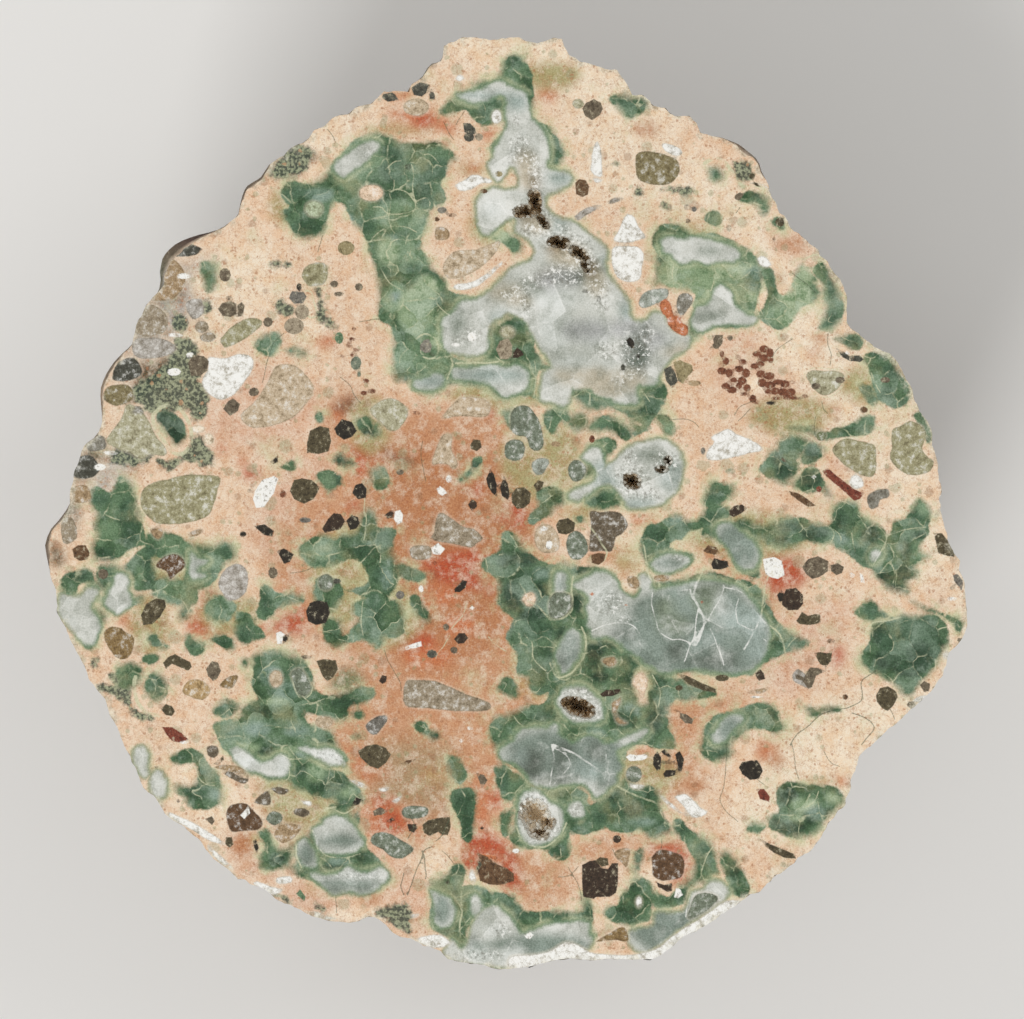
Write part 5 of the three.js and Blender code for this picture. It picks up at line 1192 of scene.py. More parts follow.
def open_back():
    """A finer, rougher copy of the CAD stone without its cut face and hollows."""
    piece = linked("open_back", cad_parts["nodule"].data.copy())
    top = max(vertex.co.z for vertex in piece.data.vertices)
    select_only(piece)
    bpy.ops.object.mode_set(mode="EDIT")
    bpy.ops.mesh.select_mode(type="FACE")
    bpy.ops.mesh.select_all(action="SELECT")
    bpy.ops.mesh.remove_doubles(threshold=1e-6)
    bpy.ops.mesh.select_all(action="DESELECT")
    mesh = bmesh.from_edit_mesh(piece.data)
    for face in mesh.faces:
        centre = face.calc_center_median()
        on_face = face.normal.z > 0.9 and centre.z > top - MM
        high_up = centre.z > top - HOLLOW_DEPTH * MM
        in_hollow = high_up and math.hypot(centre.x, centre.y) < HOLLOW_REACH * MM
        face.select_set(on_face or in_hollow)
    bmesh.update_edit_mesh(piece.data)
    bpy.ops.mesh.delete(type="FACE")
    bpy.ops.mesh.select_all(action="SELECT")
    bpy.ops.mesh.delete_loose()
    bpy.ops.mesh.select_all(action="SELECT")
    bpy.ops.mesh.subdivide(number_cuts=2)
    bpy.ops.mesh.select_mode(type="EDGE")
    bpy.ops.mesh.select_all(action="DESELECT")
    bpy.ops.mesh.select_non_manifold(use_wire=False, use_multi_face=False, use_non_contiguous=False,
                                     use_verts=False)
    mesh = bmesh.from_edit_mesh(piece.data)
    longest = max(edge.calc_length() for edge in mesh.edges if edge.is_boundary) / MM
    bpy.ops.mesh.subdivide(number_cuts=min(MOST_CUTS, math.ceil(longest / RIM_SPACING) - 1))
    bpy.ops.mesh.select_mode(type="VERT")
    mesh = bmesh.from_edit_mesh(piece.data)
    for vertex in mesh.verts:
        vertex.select_set(not vertex.is_boundary)
    bmesh.update_edit_mesh(piece.data)
    bpy.ops.mesh.vertices_smooth(factor=0.5, repeat=4)
    bpy.ops.object.mode_set(mode="OBJECT")
    roughen_back(piece, top)
    return piece, top


def roughen_back(piece, top):
    """Warts and grit on the back, the drawn edge of the cut, and small chips along it."""
    mesh = piece.data
    places = vertex_places(mesh)
    normals = np.zeros(places.size, dtype=np.float32)
    mesh.vertices.foreach_get("normal", normals)
    normals = normals.reshape(-1, 3)
    below = top / MM - places[:, 2]
    grit = 1.3 * clouds(places, 3.2, 50, 4) - 0.5 * np.abs(noise(places, 1.4, 51))
    amount = RIND_ROUGHNESS * grit * smooth(below / ROUGH_START) * smooth(places[:, 2] / REST_FLAT)
    places += normals * amount[:, None]
    on_rim = below < 0.001
    outline = even(features(RIM)[0][1], RIM_SPACING)
    turn = np.arctan2(places[:, 1], places[:, 0])
    drawn = radius_at(turn, outline)
    cut = radius_at(turn, places[on_rim, :2])
    far = np.linalg.norm(places[:, :2], axis=1).clip(1)
    wanted = far + (drawn - cut) * (1 - smooth(below / RIM_FADE))
    limit = drawn - UNDERCUT * smooth(below / UNDERCUT_DEPTH) + RELEASE * below
    for degrees, spread, bulge in BULGES:
        gap = (np.degrees(turn) - degrees + 180) % 360 - 180
        belt = smooth(below / ROUGH_START) * (1 - smooth((below - BULGE_TOP) / BULGE_FADE))
        lump = bulge * np.exp(-((gap / spread) ** 2)) * belt
        limit += lump
        wanted += lump
    wanted = np.minimum(wanted, limit)
    chips = np.maximum(0, clouds(places, 1.3, 52)) + 0.4 * noise(places, 0.5, 53)
    wanted[on_rim] = (drawn - RIM_CHIP * chips)[on_rim]
    places[:, :2] *= (wanted / far)[:, None]
    places[:, 2] = np.maximum(places[:, 2], 0)
    mesh.vertices.foreach_set("co", (places * MM).ravel())
    mesh.update()


def radius_at(turn, spots):
    """How far from the middle an outline runs in each direction."""
    angle = np.arctan2(spots[:, 1], spots[:, 0])
    return np.interp(turn, angle, np.linalg.norm(spots, axis=1), period=2 * math.pi)


def rim_loop(mesh):
    """The vertices around the cut edge, in order, anticlockwise."""
    work = bmesh.new()
    work.from_mesh(mesh)
    work.verts.ensure_lookup_table()
    border = {edge for edge in work.edges if edge.is_boundary}
    first = min(border, key=lambda edge: edge.index)
    vertex = first.verts[0]
    loop = []
    edge = first
    while edge in border:
        border.discard(edge)
        loop.append(vertex.index)
        vertex = edge.other_vert(vertex)
        following = [other for other in vertex.link_edges if other in border]
        edge = following[0] if following else None
    spots = np.array([work.verts[index].co[:2] for index in loop]) / MM
    work.free()
    x, y = spots.T
    area = np.sum(x * np.roll(y, -1) - y * np.roll(x, -1))
    if area < 0:
        loop.reverse()
        spots = spots[::-1]
    return loop, spots


def face_net(rim, closed_shapes, open_shapes):
    """Triangles over the cut face whose edges follow the markings."""
    low = rim.min(axis=0)
    high = rim.max(axis=0)
    coords = list(map(Vector, rim))
    edges = [(index, (index + 1) % len(rim)) for index in range(len(rim))]
    taken = set()
    for shape, closed in [(s, True) for s in closed_shapes] + [(s, False) for s in open_shapes]:
        within = line_distance(shape, rim, closed=True) < -RIM_MARGIN
        first = len(coords)
        place = {}
        for index in np.nonzero(within)[0]:
            place[index] = first + len(place)
            coords.append(Vector(shape[index]))
            taken.add(tuple(np.round(shape[index] / (CROWDED * FACE_SPACING)).astype(int)))
        last = len(shape) if closed else len(shape) - 1
        for index in range(last):
            following = (index + 1) % len(shape)
            if index in place and following in place:
                edges.append((place[index], place[following]))
    spots = []
    for spacing, finely in ((FACE_SPACING, False), (HOLLOW_SPACING, True)):
        x, y = np.meshgrid(
            np.arange(low[0], high[0], spacing), np.arange(low[1], high[1], spacing * 0.866)
        )
        x = x + 0.5 * spacing * (np.arange(len(x)) % 2)[:, None]
        grid = np.stack([x.ravel(), y.ravel()], axis=1)
        grid = grid[in_hollow_area(grid) == finely]
        spots.append(grid[line_distance(grid, rim, closed=True) < -NET_MARGIN * spacing])
    for spot in np.concatenate(spots):
        if tuple(np.round(spot / (CROWDED * FACE_SPACING)).astype(int)) not in taken:
            coords.append(Vector(spot))
    net = delaunay_2d_cdt(coords, edges, [], 1, 1e-5, True)
    net_spots = np.array([tuple(spot) for spot in net[0]])
    triangles = np.array(net[2])
    within = line_distance(net_spots[triangles].mean(axis=1), rim, closed=True) < 0
    return net_spots, triangles[within].tolist(), net[3]


def in_hollow_area(spots):
    """Whether each spot is in a hollow or just beside one."""
    close = np.zeros(len(spots), dtype=bool)
    for pods in HOLLOWS.values():
        for x, y, wide, high, *_ in pods:
            close |= np.hypot(spots[:, 0] - x, spots[:, 1] - y) < POD_SHARE * max(wide, high) + POD_MARGIN
    return close


def stone_piece(closed_shapes, open_shapes):
    """The whole stone as one closed mesh, and which of its faces are polished."""
    back, top = open_back()
    loop, rim = rim_loop(back.data)
    net_spots, triangles, origins = face_net(rim, closed_shapes, open_shapes)
    depth, _ = deepness(net_spots)
    back_count = len(back.data.vertices)
    vertices = [vertex.co[:] for vertex in back.data.vertices]
    place = []
    for index, origin in enumerate(origins):
        on_rim = [number for number in origin if number < len(loop)]
        if on_rim:
            place.append(loop[on_rim[0]])
            continue
        place.append(len(vertices))
        x, y = net_spots[index] * MM
        vertices.append((x, y, top - depth[index] * MM))
    faces = [tuple(polygon.vertices) for polygon in back.data.polygons]
    polished = [False] * len(faces)
    for triangle in triangles:
        faces.append(tuple(place[index] for index in triangle))
        polished.append(True)
    stone = mesh_piece("thunderegg_stone", vertices, faces)
    stone.data.polygons.foreach_set("material_index", [0 if face else 1 for face in polished])
    bpy.data.objects.remove(back)
    select_only(stone)
    bpy.ops.object.mode_set(mode="EDIT")
    bpy.ops.mesh.select_all(action="SELECT")
    bpy.ops.mesh.normals_make_consistent(inside=False)
    bpy.ops.object.mode_set(mode="OBJECT")
    bpy.ops.object.shade_smooth_by_angle(angle=math.radians(38))
    return stone, top, back_count, set(loop)


def store(mesh, name, layer):
    """Keeps four numbers for each vertex as an attribute that the materials read."""
    attribute = mesh.attributes.new(name=name, type="FLOAT_COLOR", domain="POINT")
    attribute.data.foreach_set("color", np.asarray(layer, dtype=np.float32).ravel())


def mark_stone(stone, top, back_count, rim):
    """Works out the stone's markings for every vertex."""
    places = vertex_places(stone.data)
    count = len(places)
    spots = places[:, :2]
    on_back = np.arange(count) < back_count
    on_back[list(rim)] = False
    face_spots = np.where(on_back[:, None], 1e4, spots)

    ground = np.tile(linear(PALETTE["peach"]), (count, 1))
    paint(ground, spots, GROUND_ROWS, 2.0)
    paint(ground, spots, STAIN_ROWS, 0.9)
    shade = clouds(spots, 4.0, 60)
    ground *= (1 + 0.05 * shade)[:, None]
    rind = rind_colours(places)
    ground[on_back] = rind[on_back]
    store(stone.data, "ground", np.column_stack([ground, top / MM - places[:, 2]]))

    green = crisp_layer(face_spots, GREEN_ROWS)
    tone = np.tile(linear(PALETTE["green"]), (count, 1))
    paint(tone, spots, TONE_ROWS, 0.35)
    store(stone.data, "green", np.column_stack([tone, green[:, 3]]))

    quartz = crisp_layer(face_spots, QUARTZ_ROWS)
    cloud = np.tile(linear(PALETTE["quartz"]), (count, 1))
    paint(cloud, spots, QUARTZ_TONE_ROWS, 0.9)
    store(stone.data, "quartz", np.column_stack([cloud, quartz[:, 3]]))

    store(stone.data, "clast", crisp_layer(face_spots, CLAST_ROWS))
    store(stone.data, "crystal", crisp_layer(face_spots, CRYSTAL_ROWS))
    moss = crisp_layer(face_spots, MOSS_ROWS)[:, 3]
    pale = line_layer(face_spots, PALE_ROWS, LINE_WIDTHS)
    dark = line_layer(face_spots, DARK_ROWS, LINE_WIDTHS)
    # Where the face gets the painted glints and painted shade of small quartz points
    sparkle = crisp_layer(face_spots, SPARKLE_ROWS)[:, 3]
    store(stone.data, "fine", np.column_stack([pale, dark, moss, sparkle]))
    outline = even(features(RIM)[0][1], RIM_SPACING)
    turn = np.arctan2(spots[:, 1], spots[:, 0])
    inward = np.clip(radius_at(turn, outline) - np.linalg.norm(spots, axis=1), 0, RIM_REACH)
    worn = inward < RIM_REACH
    inward[worn] = np.clip(-line_distance(spots[worn], outline, closed=True), 0, RIM_REACH)
    store(stone.data, "rim", np.column_stack([inward] * 4))


def rind_colours(places):
    """Weathered brown-grey back with green, pink and maroon patches, and patches along the edge whose
    darkest ones are painted shade.
    """
    colour = np.tile(linear(PALETTE["rind"]), (len(places), 1))
    for word, size, seed, low in (
        ("rind_green", 9.0, 70, 0.05),
        ("rind_pink", 7.0, 71, 0.12),
        ("rind_dark", 5.0, 72, 0.15),
    ):
        cover = smooth((clouds(places, size, seed) - low) / 0.3)[:, None]
        colour += (linear(PALETTE[word]) - colour) * 0.8 * cover
    # Patches along the edge, the darkest of them painted shade, fading out with depth
    edge = colour.copy()
    paint(edge, places[:, :2], RIND_ROWS, 1.6)
    below = places[:, 2].max() - places[:, 2] + 1.5 * clouds(places, 2.0, 73)
    colour += (edge - colour) * (1 - smooth(below / RIND_PATCH_DEPTH))[:, None]
    return colour


# Crystals in the hollows


def crystal_form():
    """A six-sided quartz point of unit size, its foot at the origin, pointing up."""
    bpy.ops.object.select_all(action="DESELECT")
    bpy.ops.mesh.primitive_cylinder_add(vertices=6, radius=1.0, depth=1.2, end_fill_type="NGON",
                                        location=(0, 0, 0.2))
    piece = bpy.context.object
    bpy.ops.object.transform_apply(location=True, rotation=False, scale=False)
    bpy.ops.object.mode_set(mode="EDIT")
    bpy.ops.mesh.select_mode(type="FACE")
    bpy.ops.mesh.select_all(action="DESELECT")
    mesh = bmesh.from_edit_mesh(piece.data)
    for face in mesh.faces:
        face.select_set(face.normal.z > 0.9)
    bmesh.update_edit_mesh(piece.data)
    bpy.ops.mesh.extrude_region_move(TRANSFORM_OT_translate={"value": (0, 0, 0.9)})
    bpy.ops.mesh.merge(type="CENTER")
    bpy.ops.object.mode_set(mode="OBJECT")
    vertices = np.array([vertex.co[:] for vertex in piece.data.vertices])
    faces = [tuple(polygon.vertices) for polygon in piece.data.polygons]
    bpy.data.objects.remove(piece)
    return vertices, faces


def druse(node, pods, form, top, seed):
    """The crust of small quartz points on the walls of one hollow."""
    shape, shape_faces = form
    random = np.random.default_rng(seed)
    vertices = []
    faces = []
    tints = []
    for x, y, wide, high, turn, deep in pods:
        count = int(DRUSE_DENSITY * math.pi * wide * high * (1 + 0.25 * deep))
        radius = np.sqrt(random.uniform(0.18, 1.0, count))
        angle = random.uniform(0, 2 * math.pi, count)
        local = np.stack([wide * radius * np.cos(angle), high * radius * np.sin(angle)], axis=1)
        spots = turned(local, turn) + (x, y)
        depth, slope = deepness(spots)
        for spot, down, inward in zip(spots, depth, slope):
            if down < DRUSE_TOP:
                continue
            lean = inward / (np.linalg.norm(inward) + 1e-9)
            steep = min(1.0, 0.45 + 0.12 * down)
            axis = np.array([*(lean * steep), 0.75]) + random.normal(0, DRUSE_UNRULY, 3)
            axis /= np.linalg.norm(axis)
            size = random.uniform(*DRUSE_RADIUS)
            tall = size * random.uniform(*DRUSE_TALLNESS)
            base = np.array([*spot, top / MM - down]) - 0.25 * size * axis
            # No point stands higher than half its way up to the face
            tall = min(tall, max(0.1, (down - 0.02) / (2.0 * max(axis[2], 0.3)) + 0.12))
            side = np.cross(axis, (0.3, 0.2, 0.9))
            side /= np.linalg.norm(side)
            axes = np.stack([side, np.cross(axis, side), axis])
            points = (shape * (size, size, tall)) @ axes + base
            points[:, 2] = np.minimum(points[:, 2], top / MM - 0.01)
            first = len(vertices) * len(shape)
            vertices.append(points)
            faces += [tuple(first + index for index in face) for face in shape_faces]
            tints += [druse_tint(down, random)] * len(shape)
    piece = mesh_piece(node.replace("_crystals", "_druse"), np.concatenate(vertices) * MM, faces)
    store(piece.data, "tint", tints)
    return piece


def druse_tint(down, random):
    """White near the mouth, brown deeper in."""
    dirt = smooth((down - 0.6) / 2.2 + random.uniform(-0.35, 0.25))
    clean = linear(PALETTE["druse"])
    dirty = linear(PALETTE["druse_brown"])
    return (*(clean + (dirty - clean) * dirt), 1.0)


# Materials


class Nodes:
    """Short ways to add nodes to a material or group and join them."""

    def __init__(self, tree):
        self.tree = tree
        self.tree.nodes.clear()

    def add(self, kind, inputs=(), **settings):
        """A new node with its settings and inputs."""
        made = self.tree.nodes.new("ShaderNode" + kind)
        for name, value in settings.items():
            setattr(made, name, value)
        self.feed(made, inputs)
        return made

    def feed(self, node, inputs):
        """Joins or sets the node's inputs."""
        for name, value in dict(inputs).items():
            if isinstance(value, bpy.types.NodeSocket):
                self.tree.links.new(value, node.inputs[name])
            else:
                node.inputs[name].default_value = value

    def maths(self, operation, *values):
        return self.add("Math", enumerate(values), operation=operation).outputs[0]

    def band(self, value, low, high):
        """0 below low, 1 above high."""
        inputs = {"Value": value, "From Min": low, "From Max": high}
        return self.add("MapRange", inputs, interpolation_type="SMOOTHSTEP").outputs["Result"]

    def mix(self, factor, first, second, blend="MIX"):
        """The first colour at factor 0, the second at 1."""
        made = self.add("Mix", {0: factor, 6: first, 7: second}, data_type="RGBA", blend_type=blend)
        return made.outputs[2]

    def fade(self, value, low, high):
        """1 below low, 0 above high."""
        return self.maths("SUBTRACT", 1.0, self.band(value, low, high))

    def tint(self, colour, mask, amount, word, blend="MIX"):
        """The colour with some of a palette colour over it where the mask is."""
        return self.mix(self.maths("MULTIPLY", mask, amount), colour, colour4(word), blend)

    def place(self):
        """The spot on the piece, in mm."""
        spot = self.add("TexCoord").outputs["Object"]
        return self.add("VectorMath", {0: spot, "Scale": 1 / MM}, operation="SCALE").outputs[0]

    def shifted(self, place, amount):
        """Another spot, so that a pattern doesn't fall on itself."""
        return self.add("VectorMath", {0: place, 1: (amount,) * 3}, operation="ADD").outputs[0]

    def bent(self, place, scale, amount):
        """The spot pushed about by a noise."""
        noisy = self.add("TexNoise", {"Vector": place, "Scale": scale, "Detail": 2.0})
        push = self.add("VectorMath", {0: noisy.outputs["Color"], "Scale": amount}, operation="SCALE")
        return self.add("VectorMath", {0: place, 1: push.outputs[0]}, operation="ADD").outputs[0]

    def grain(self, place, size, detail=2.0, roughness=0.55, shift=0.0):
        """Noise from 0 to 1 whose swells are size mm apart. Each shift gives another noise."""
        made = self.add("TexNoise", {"Vector": place, "Scale": 1 / size, "Detail": detail,
                                     "Roughness": roughness, "W": shift}, noise_dimensions="4D")
        return made.outputs["Fac"]

    def patches(self, low, high, *grain):
        """A grain's patches: 0 where it is below low, 1 where above high."""
        return self.band(self.grain(*grain), low, high)

    def cells(self, place, size, feature="F1"):
        """Voronoi cells about size mm across."""
        return self.add("TexVoronoi", {"Vector": place, "Scale": 1 / size}, feature=feature)

    def layer(self, name):
        """The colour and the fourth number that mark_stone or druse has stored."""
        made = self.add("Attribute", attribute_name=name)
        return made.outputs["Color"], made.outputs["Alpha"]

    def parts(self, colour):
        """Red, green and blue, each on its own."""
        return self.add("SeparateColor", {"Color": colour}).outputs


def colour4(word):
    """A palette colour as a shader socket takes it."""
    return (*linear(PALETTE[word]), 1.0)


def new_material(name):
    """A material with a Principled shader joined to its output."""
    material = bpy.data.materials.new(name)
    material.use_nodes = True
    nodes = Nodes(material.node_tree)
    shader = nodes.add("BsdfPrincipled")
    output = nodes.add("OutputMaterial")
    nodes.tree.links.new(shader.outputs["BSDF"], output.inputs["Surface"])
    return material, nodes, shader


def speckle_group():
    """Small scattered specks: puts out how much of a speck covers each spot."""
    group = bpy.data.node_groups.new("scattered_specks", "ShaderNodeTree")
    nodes = Nodes(group)
    for name, kind in (("Place", "Vector"), ("Size", "Float"), ("Share", "Float")):
        group.interface.new_socket(name, in_out="INPUT", socket_type="NodeSocket" + kind)
    group.interface.new_socket("Specks", in_out="OUTPUT", socket_type="NodeSocketFloat")
    given = group.nodes.new("NodeGroupInput").outputs
    scale = nodes.maths("DIVIDE", 1.0, given["Size"])
    spot = nodes.bent(given["Place"], 2.6, 0.35)
    cells = nodes.add("TexVoronoi", {"Vector": spot, "Scale": scale})
    choice = nodes.parts(cells.outputs["Color"])
    chosen = nodes.maths("LESS_THAN", choice[0], given["Share"])
    span = nodes.maths("MULTIPLY", choice[1], 0.34)
    near_middle = nodes.maths("SUBTRACT", cells.outputs["Distance"], span)
    round_speck = nodes.fade(near_middle, 0.0, 0.14)
    result = nodes.maths("MULTIPLY", round_speck, chosen)
    output = group.nodes.new("NodeGroupOutput")
    group.links.new(result, output.inputs["Specks"])
    return group


def specks(nodes, group, place, size, share):
    """The speck group in a material, with cells of a size in mm, of which a share holds a speck."""
    inputs = {"Place": place, "Size": size, "Share": share}
    return nodes.add("Group", inputs, node_tree=group).outputs["Specks"]


def ridge(nodes, place, size, shift):
    """Thin winding threads where a noise crosses its middle."""
    noisy = nodes.grain(place, size, 5.0, 0.66, shift)
    height = nodes.maths("ABSOLUTE", nodes.maths("SUBTRACT", noisy, 0.5))
    return nodes.fade(height, 0.0, 0.022)


def centred(nodes, value, amount):
    """A 0 to 1 noise as plus or minus half the amount."""
    return nodes.maths("MULTIPLY_ADD", value, amount, -0.5 * amount)


def polished_face(group):
    """The cut face: peach ground, green and grey chalcedony, rock bits and small crystals."""
    material, nodes, shader = new_material("polished_face")
    place = nodes.place()
    ragged = centred(nodes, nodes.grain(place, 0.55, 3.0), 0.34)
    fine = centred(nodes, nodes.grain(place, 0.16, 2.0), 0.12)
    wide = nodes.grain(place, 2.6, 3.0, 0.6)
    dust = nodes.patches(0.34, 0.66, place, 0.2, 4.0, 0.8)
    uneven = nodes.maths("ADD", ragged, fine)

    ground, depth = nodes.layer("ground")
    fine_rgb, druse_away = nodes.layer("fine")
    pale_away, dark_away, moss_away = nodes.parts(fine_rgb)[:3]
    colour = ground_colour(nodes, group, place, ground)
    colour = moss_over(nodes, group, place, colour, moss_away, ragged)
    colour = green_over(nodes, place, colour, uneven, wide)
    colour = quartz_over(nodes, place, colour, uneven, wide, druse_away)
    colour = clast_over(nodes, place, colour, fine, ragged)
    pale = nodes.fade(nodes.maths("ADD", pale_away, fine), -0.04, 0.07)
    broken = nodes.patches(0.34, 0.6, place, 1.1, 3.0, 0.6, 8.0)
    _, quartz_away = nodes.layer("quartz")
    line_tone = nodes.mix(nodes.band(quartz_away, -0.2, 0.2), colour4("white"), colour4("pale_line"))
    colour = nodes.mix(nodes.maths("MULTIPLY", pale, nodes.maths("MULTIPLY", broken, 0.75)), colour,
                       line_tone)
    colour = crystal_over(nodes, place, colour, fine, ragged)
    rim_away, _ = nodes.layer("rim")
    rim_away = nodes.parts(rim_away)[0]
    chipped = nodes.maths("MULTIPLY_ADD", nodes.grain(place, 1.6, 4.0, 0.7, 30.0), -4.4, rim_away)
    worn = nodes.fade(chipped, -2.5, -1.7)
    wear = nodes.mix(nodes.patches(0.42, 0.6, place, 1.0, 5.0, 0.75, 31.0), colour4("edge_pale"),
                     colour4("edge_dark"))
    colour = nodes.mix(nodes.maths("MULTIPLY", worn, 0.6), colour, wear)
    dark = nodes.fade(nodes.maths("ADD", dark_away, fine), -0.03, 0.06)
    colour = nodes.tint(colour, dark, 0.7, "crack")
    colour = nodes.mix(0.42, colour, nodes.mix(dust, colour4("black"), colour4("white")), "SOFT_LIGHT")

    inside = nodes.band(depth, 0.08, 0.5)
    wall = nodes.mix(nodes.band(depth, 0.6, 2.6), colour4("druse"), colour4("druse_brown"))
    colour = nodes.mix(inside, colour, wall)
    gloss = nodes.maths("MULTIPLY_ADD", nodes.grain(place, 0.9, 3.0), 0.16, 0.1)
    rough = nodes.maths("MULTIPLY_ADD", inside, 0.35, gloss)
    relief = nodes.add("Bump", {"Height": nodes.maths("MULTIPLY", dust, inside), "Strength": 0.5,
                                "Distance": 0.0002})
    nodes.feed(shader, {"Base Color": colour, "Roughness": rough, "Normal": relief.outputs["Normal"],
                        "IOR": 1.54})
    return material


def ground_colour(nodes, group, place, ground):
    """Peach ground with stains, grains, bits of rock and fine nets of brown."""
    patch = nodes.patches(0.38, 0.66, place, 1.3, 5.0, 0.68)
    colour = nodes.tint(ground, patch, 0.5, "ground_warm", "MULTIPLY")
    light = nodes.patches(0.46, 0.64, place, 1.1, 6.0, 0.72, 3.0)
    colour = nodes.tint(colour, light, 0.5, "ground_light")
    stain = nodes.patches(0.55, 0.72, place, 3.2, 5.0, 0.66, 21.0)
    colour = nodes.tint(colour, stain, 0.3, "ground_stain")
    veil = nodes.patches(0.53, 0.72, place, 4.5, 5.0, 0.66, 25.0)
    colour = nodes.tint(colour, veil, 0.45, "green_halo")
    bit_green = specks(nodes, group, nodes.shifted(place, 47.0), 1.9, 0.3)
    colour = nodes.tint(colour, bit_green, 0.4, "bit_green")
    bit_pale = specks(nodes, group, nodes.shifted(place, 11.0), 1.5, 0.34)
    colour = nodes.tint(colour, bit_pale, 0.2, "ground_light")
    bit_brown = specks(nodes, group, nodes.shifted(place, 83.0), 1.3, 0.2)
    colour = nodes.tint(colour, bit_brown, 0.4, "bit_brown")
    net = ridge(nodes, place, 1.5, 15.0)
    colour = nodes.tint(colour, net, 0.4, "speck_brown")
    fine_net = ridge(nodes, nodes.shifted(place, 5.0), 0.6, 16.0)
    colour = nodes.tint(colour, fine_net, 0.3, "speck_brown")
    brown = specks(nodes, group, place, 0.42, 0.34)
    colour = nodes.tint(colour, brown, 0.55, "speck_brown")
    green_specks = specks(nodes, group, nodes.shifted(place, 31.0), 0.8, 0.2)
    return nodes.tint(colour, green_specks, 0.4, "speck_green")


def moss_over(nodes, group, place, colour, away, ragged):
    """Moss-like dark green grains between pale and orange ones."""
    spread = nodes.maths("MULTIPLY_ADD", nodes.grain(place, 0.8, 3.0, 0.6, 7.0), 1.6, -0.8)
    cover = nodes.fade(nodes.maths("ADD", away, spread), -0.3, 0.25)
    grains = nodes.grain(place, 0.33, 2.0, 0.6, 5.0)
    moss = nodes.mix(nodes.band(grains, 0.42, 0.6), colour4("moss_dark"), colour4("moss_light"))
    orange = specks(nodes, group, place, 0.7, 0.3)
    moss = nodes.tint(moss, orange, 0.6, "moss_orange")
    return nodes.mix(nodes.maths("MULTIPLY", cover, 0.92), colour, moss)


def green_over(nodes, place, colour, uneven, wide):
    """Green chalcedony in cells with fine pale walls and a cream border that comes and goes."""
    tone, away = nodes.layer("green")
    away = nodes.maths("ADD", away, uneven)
    away = nodes.maths("ADD", away, centred(nodes, nodes.grain(place, 1.6, 4.0, 0.65, 14.0), 0.7))
    present = nodes.patches(0.45, 0.64, place, 2.0, 5.0, 0.7, 13.0)
    halo = nodes.maths("MULTIPLY", present, nodes.fade(away, 0.0, 1.2))
    colour = nodes.tint(colour, halo, 0.8, "green_halo")
    bent = nodes.bent(place, 0.5, 1.5)
    cells = nodes.cells(bent, 2.3)
    kind = nodes.parts(cells.outputs["Color"])
    dim = nodes.band(kind[0], 0.0, 1.0)
    tone = nodes.tint(tone, dim, 0.7, "cell_shade", "MULTIPLY")
    glow = nodes.maths("MULTIPLY", nodes.band(kind[1], 0.4, 0.9), nodes.band(wide, 0.36, 0.6))
    tone = nodes.tint(tone, glow, 0.42, "cell_light")
    edge = nodes.cells(bent, 2.3, "DISTANCE_TO_EDGE").outputs["Distance"]
    dark_rim = nodes.fade(edge, 0.03, 0.3)
    tone = nodes.tint(tone, dark_rim, 0.3, "cell_shade", "MULTIPLY")
    wall = nodes.fade(edge, 0.006, 0.06)
    shown = nodes.maths("MULTIPLY", wall, nodes.band(kind[2], 0.1, 0.6))
    shown = nodes.maths("MULTIPLY", shown, nodes.patches(0.42, 0.62, place, 1.3, 4.0, 0.65, 17.0))
    tone = nodes.tint(tone, shown, 0.7, "pale_line")
    cloud = nodes.grain(place, 1.7, 6.0, 0.7, 12.0)
    tone = nodes.tint(tone, nodes.band(cloud, 0.52, 0.68), 0.32, "cell_light")
    tone = nodes.tint(tone, nodes.band(cloud, 0.5, 0.36), 0.8, "cell_shade", "MULTIPLY")
    haze = nodes.patches(0.5, 0.72, place, 3.4, 4.0, 0.6, 18.0)
    tone = nodes.tint(tone, haze, 0.4, "olive_halo")
    freckle = nodes.patches(0.55, 0.72, place, 0.28, 3.0, 0.7, 9.0)
    tone = nodes.tint(tone, freckle, 0.18, "cell_light")
    blur = nodes.patches(0.44, 0.62, place, 2.8, 3.0, 0.6, 33.0)
    cover = nodes.band(away, nodes.maths("MULTIPLY_ADD", blur, -0.6, -0.16),
                       nodes.maths("MULTIPLY_ADD", blur, 0.35, 0.12))
    return nodes.mix(nodes.maths("SUBTRACT", 1.0, cover), colour, tone)


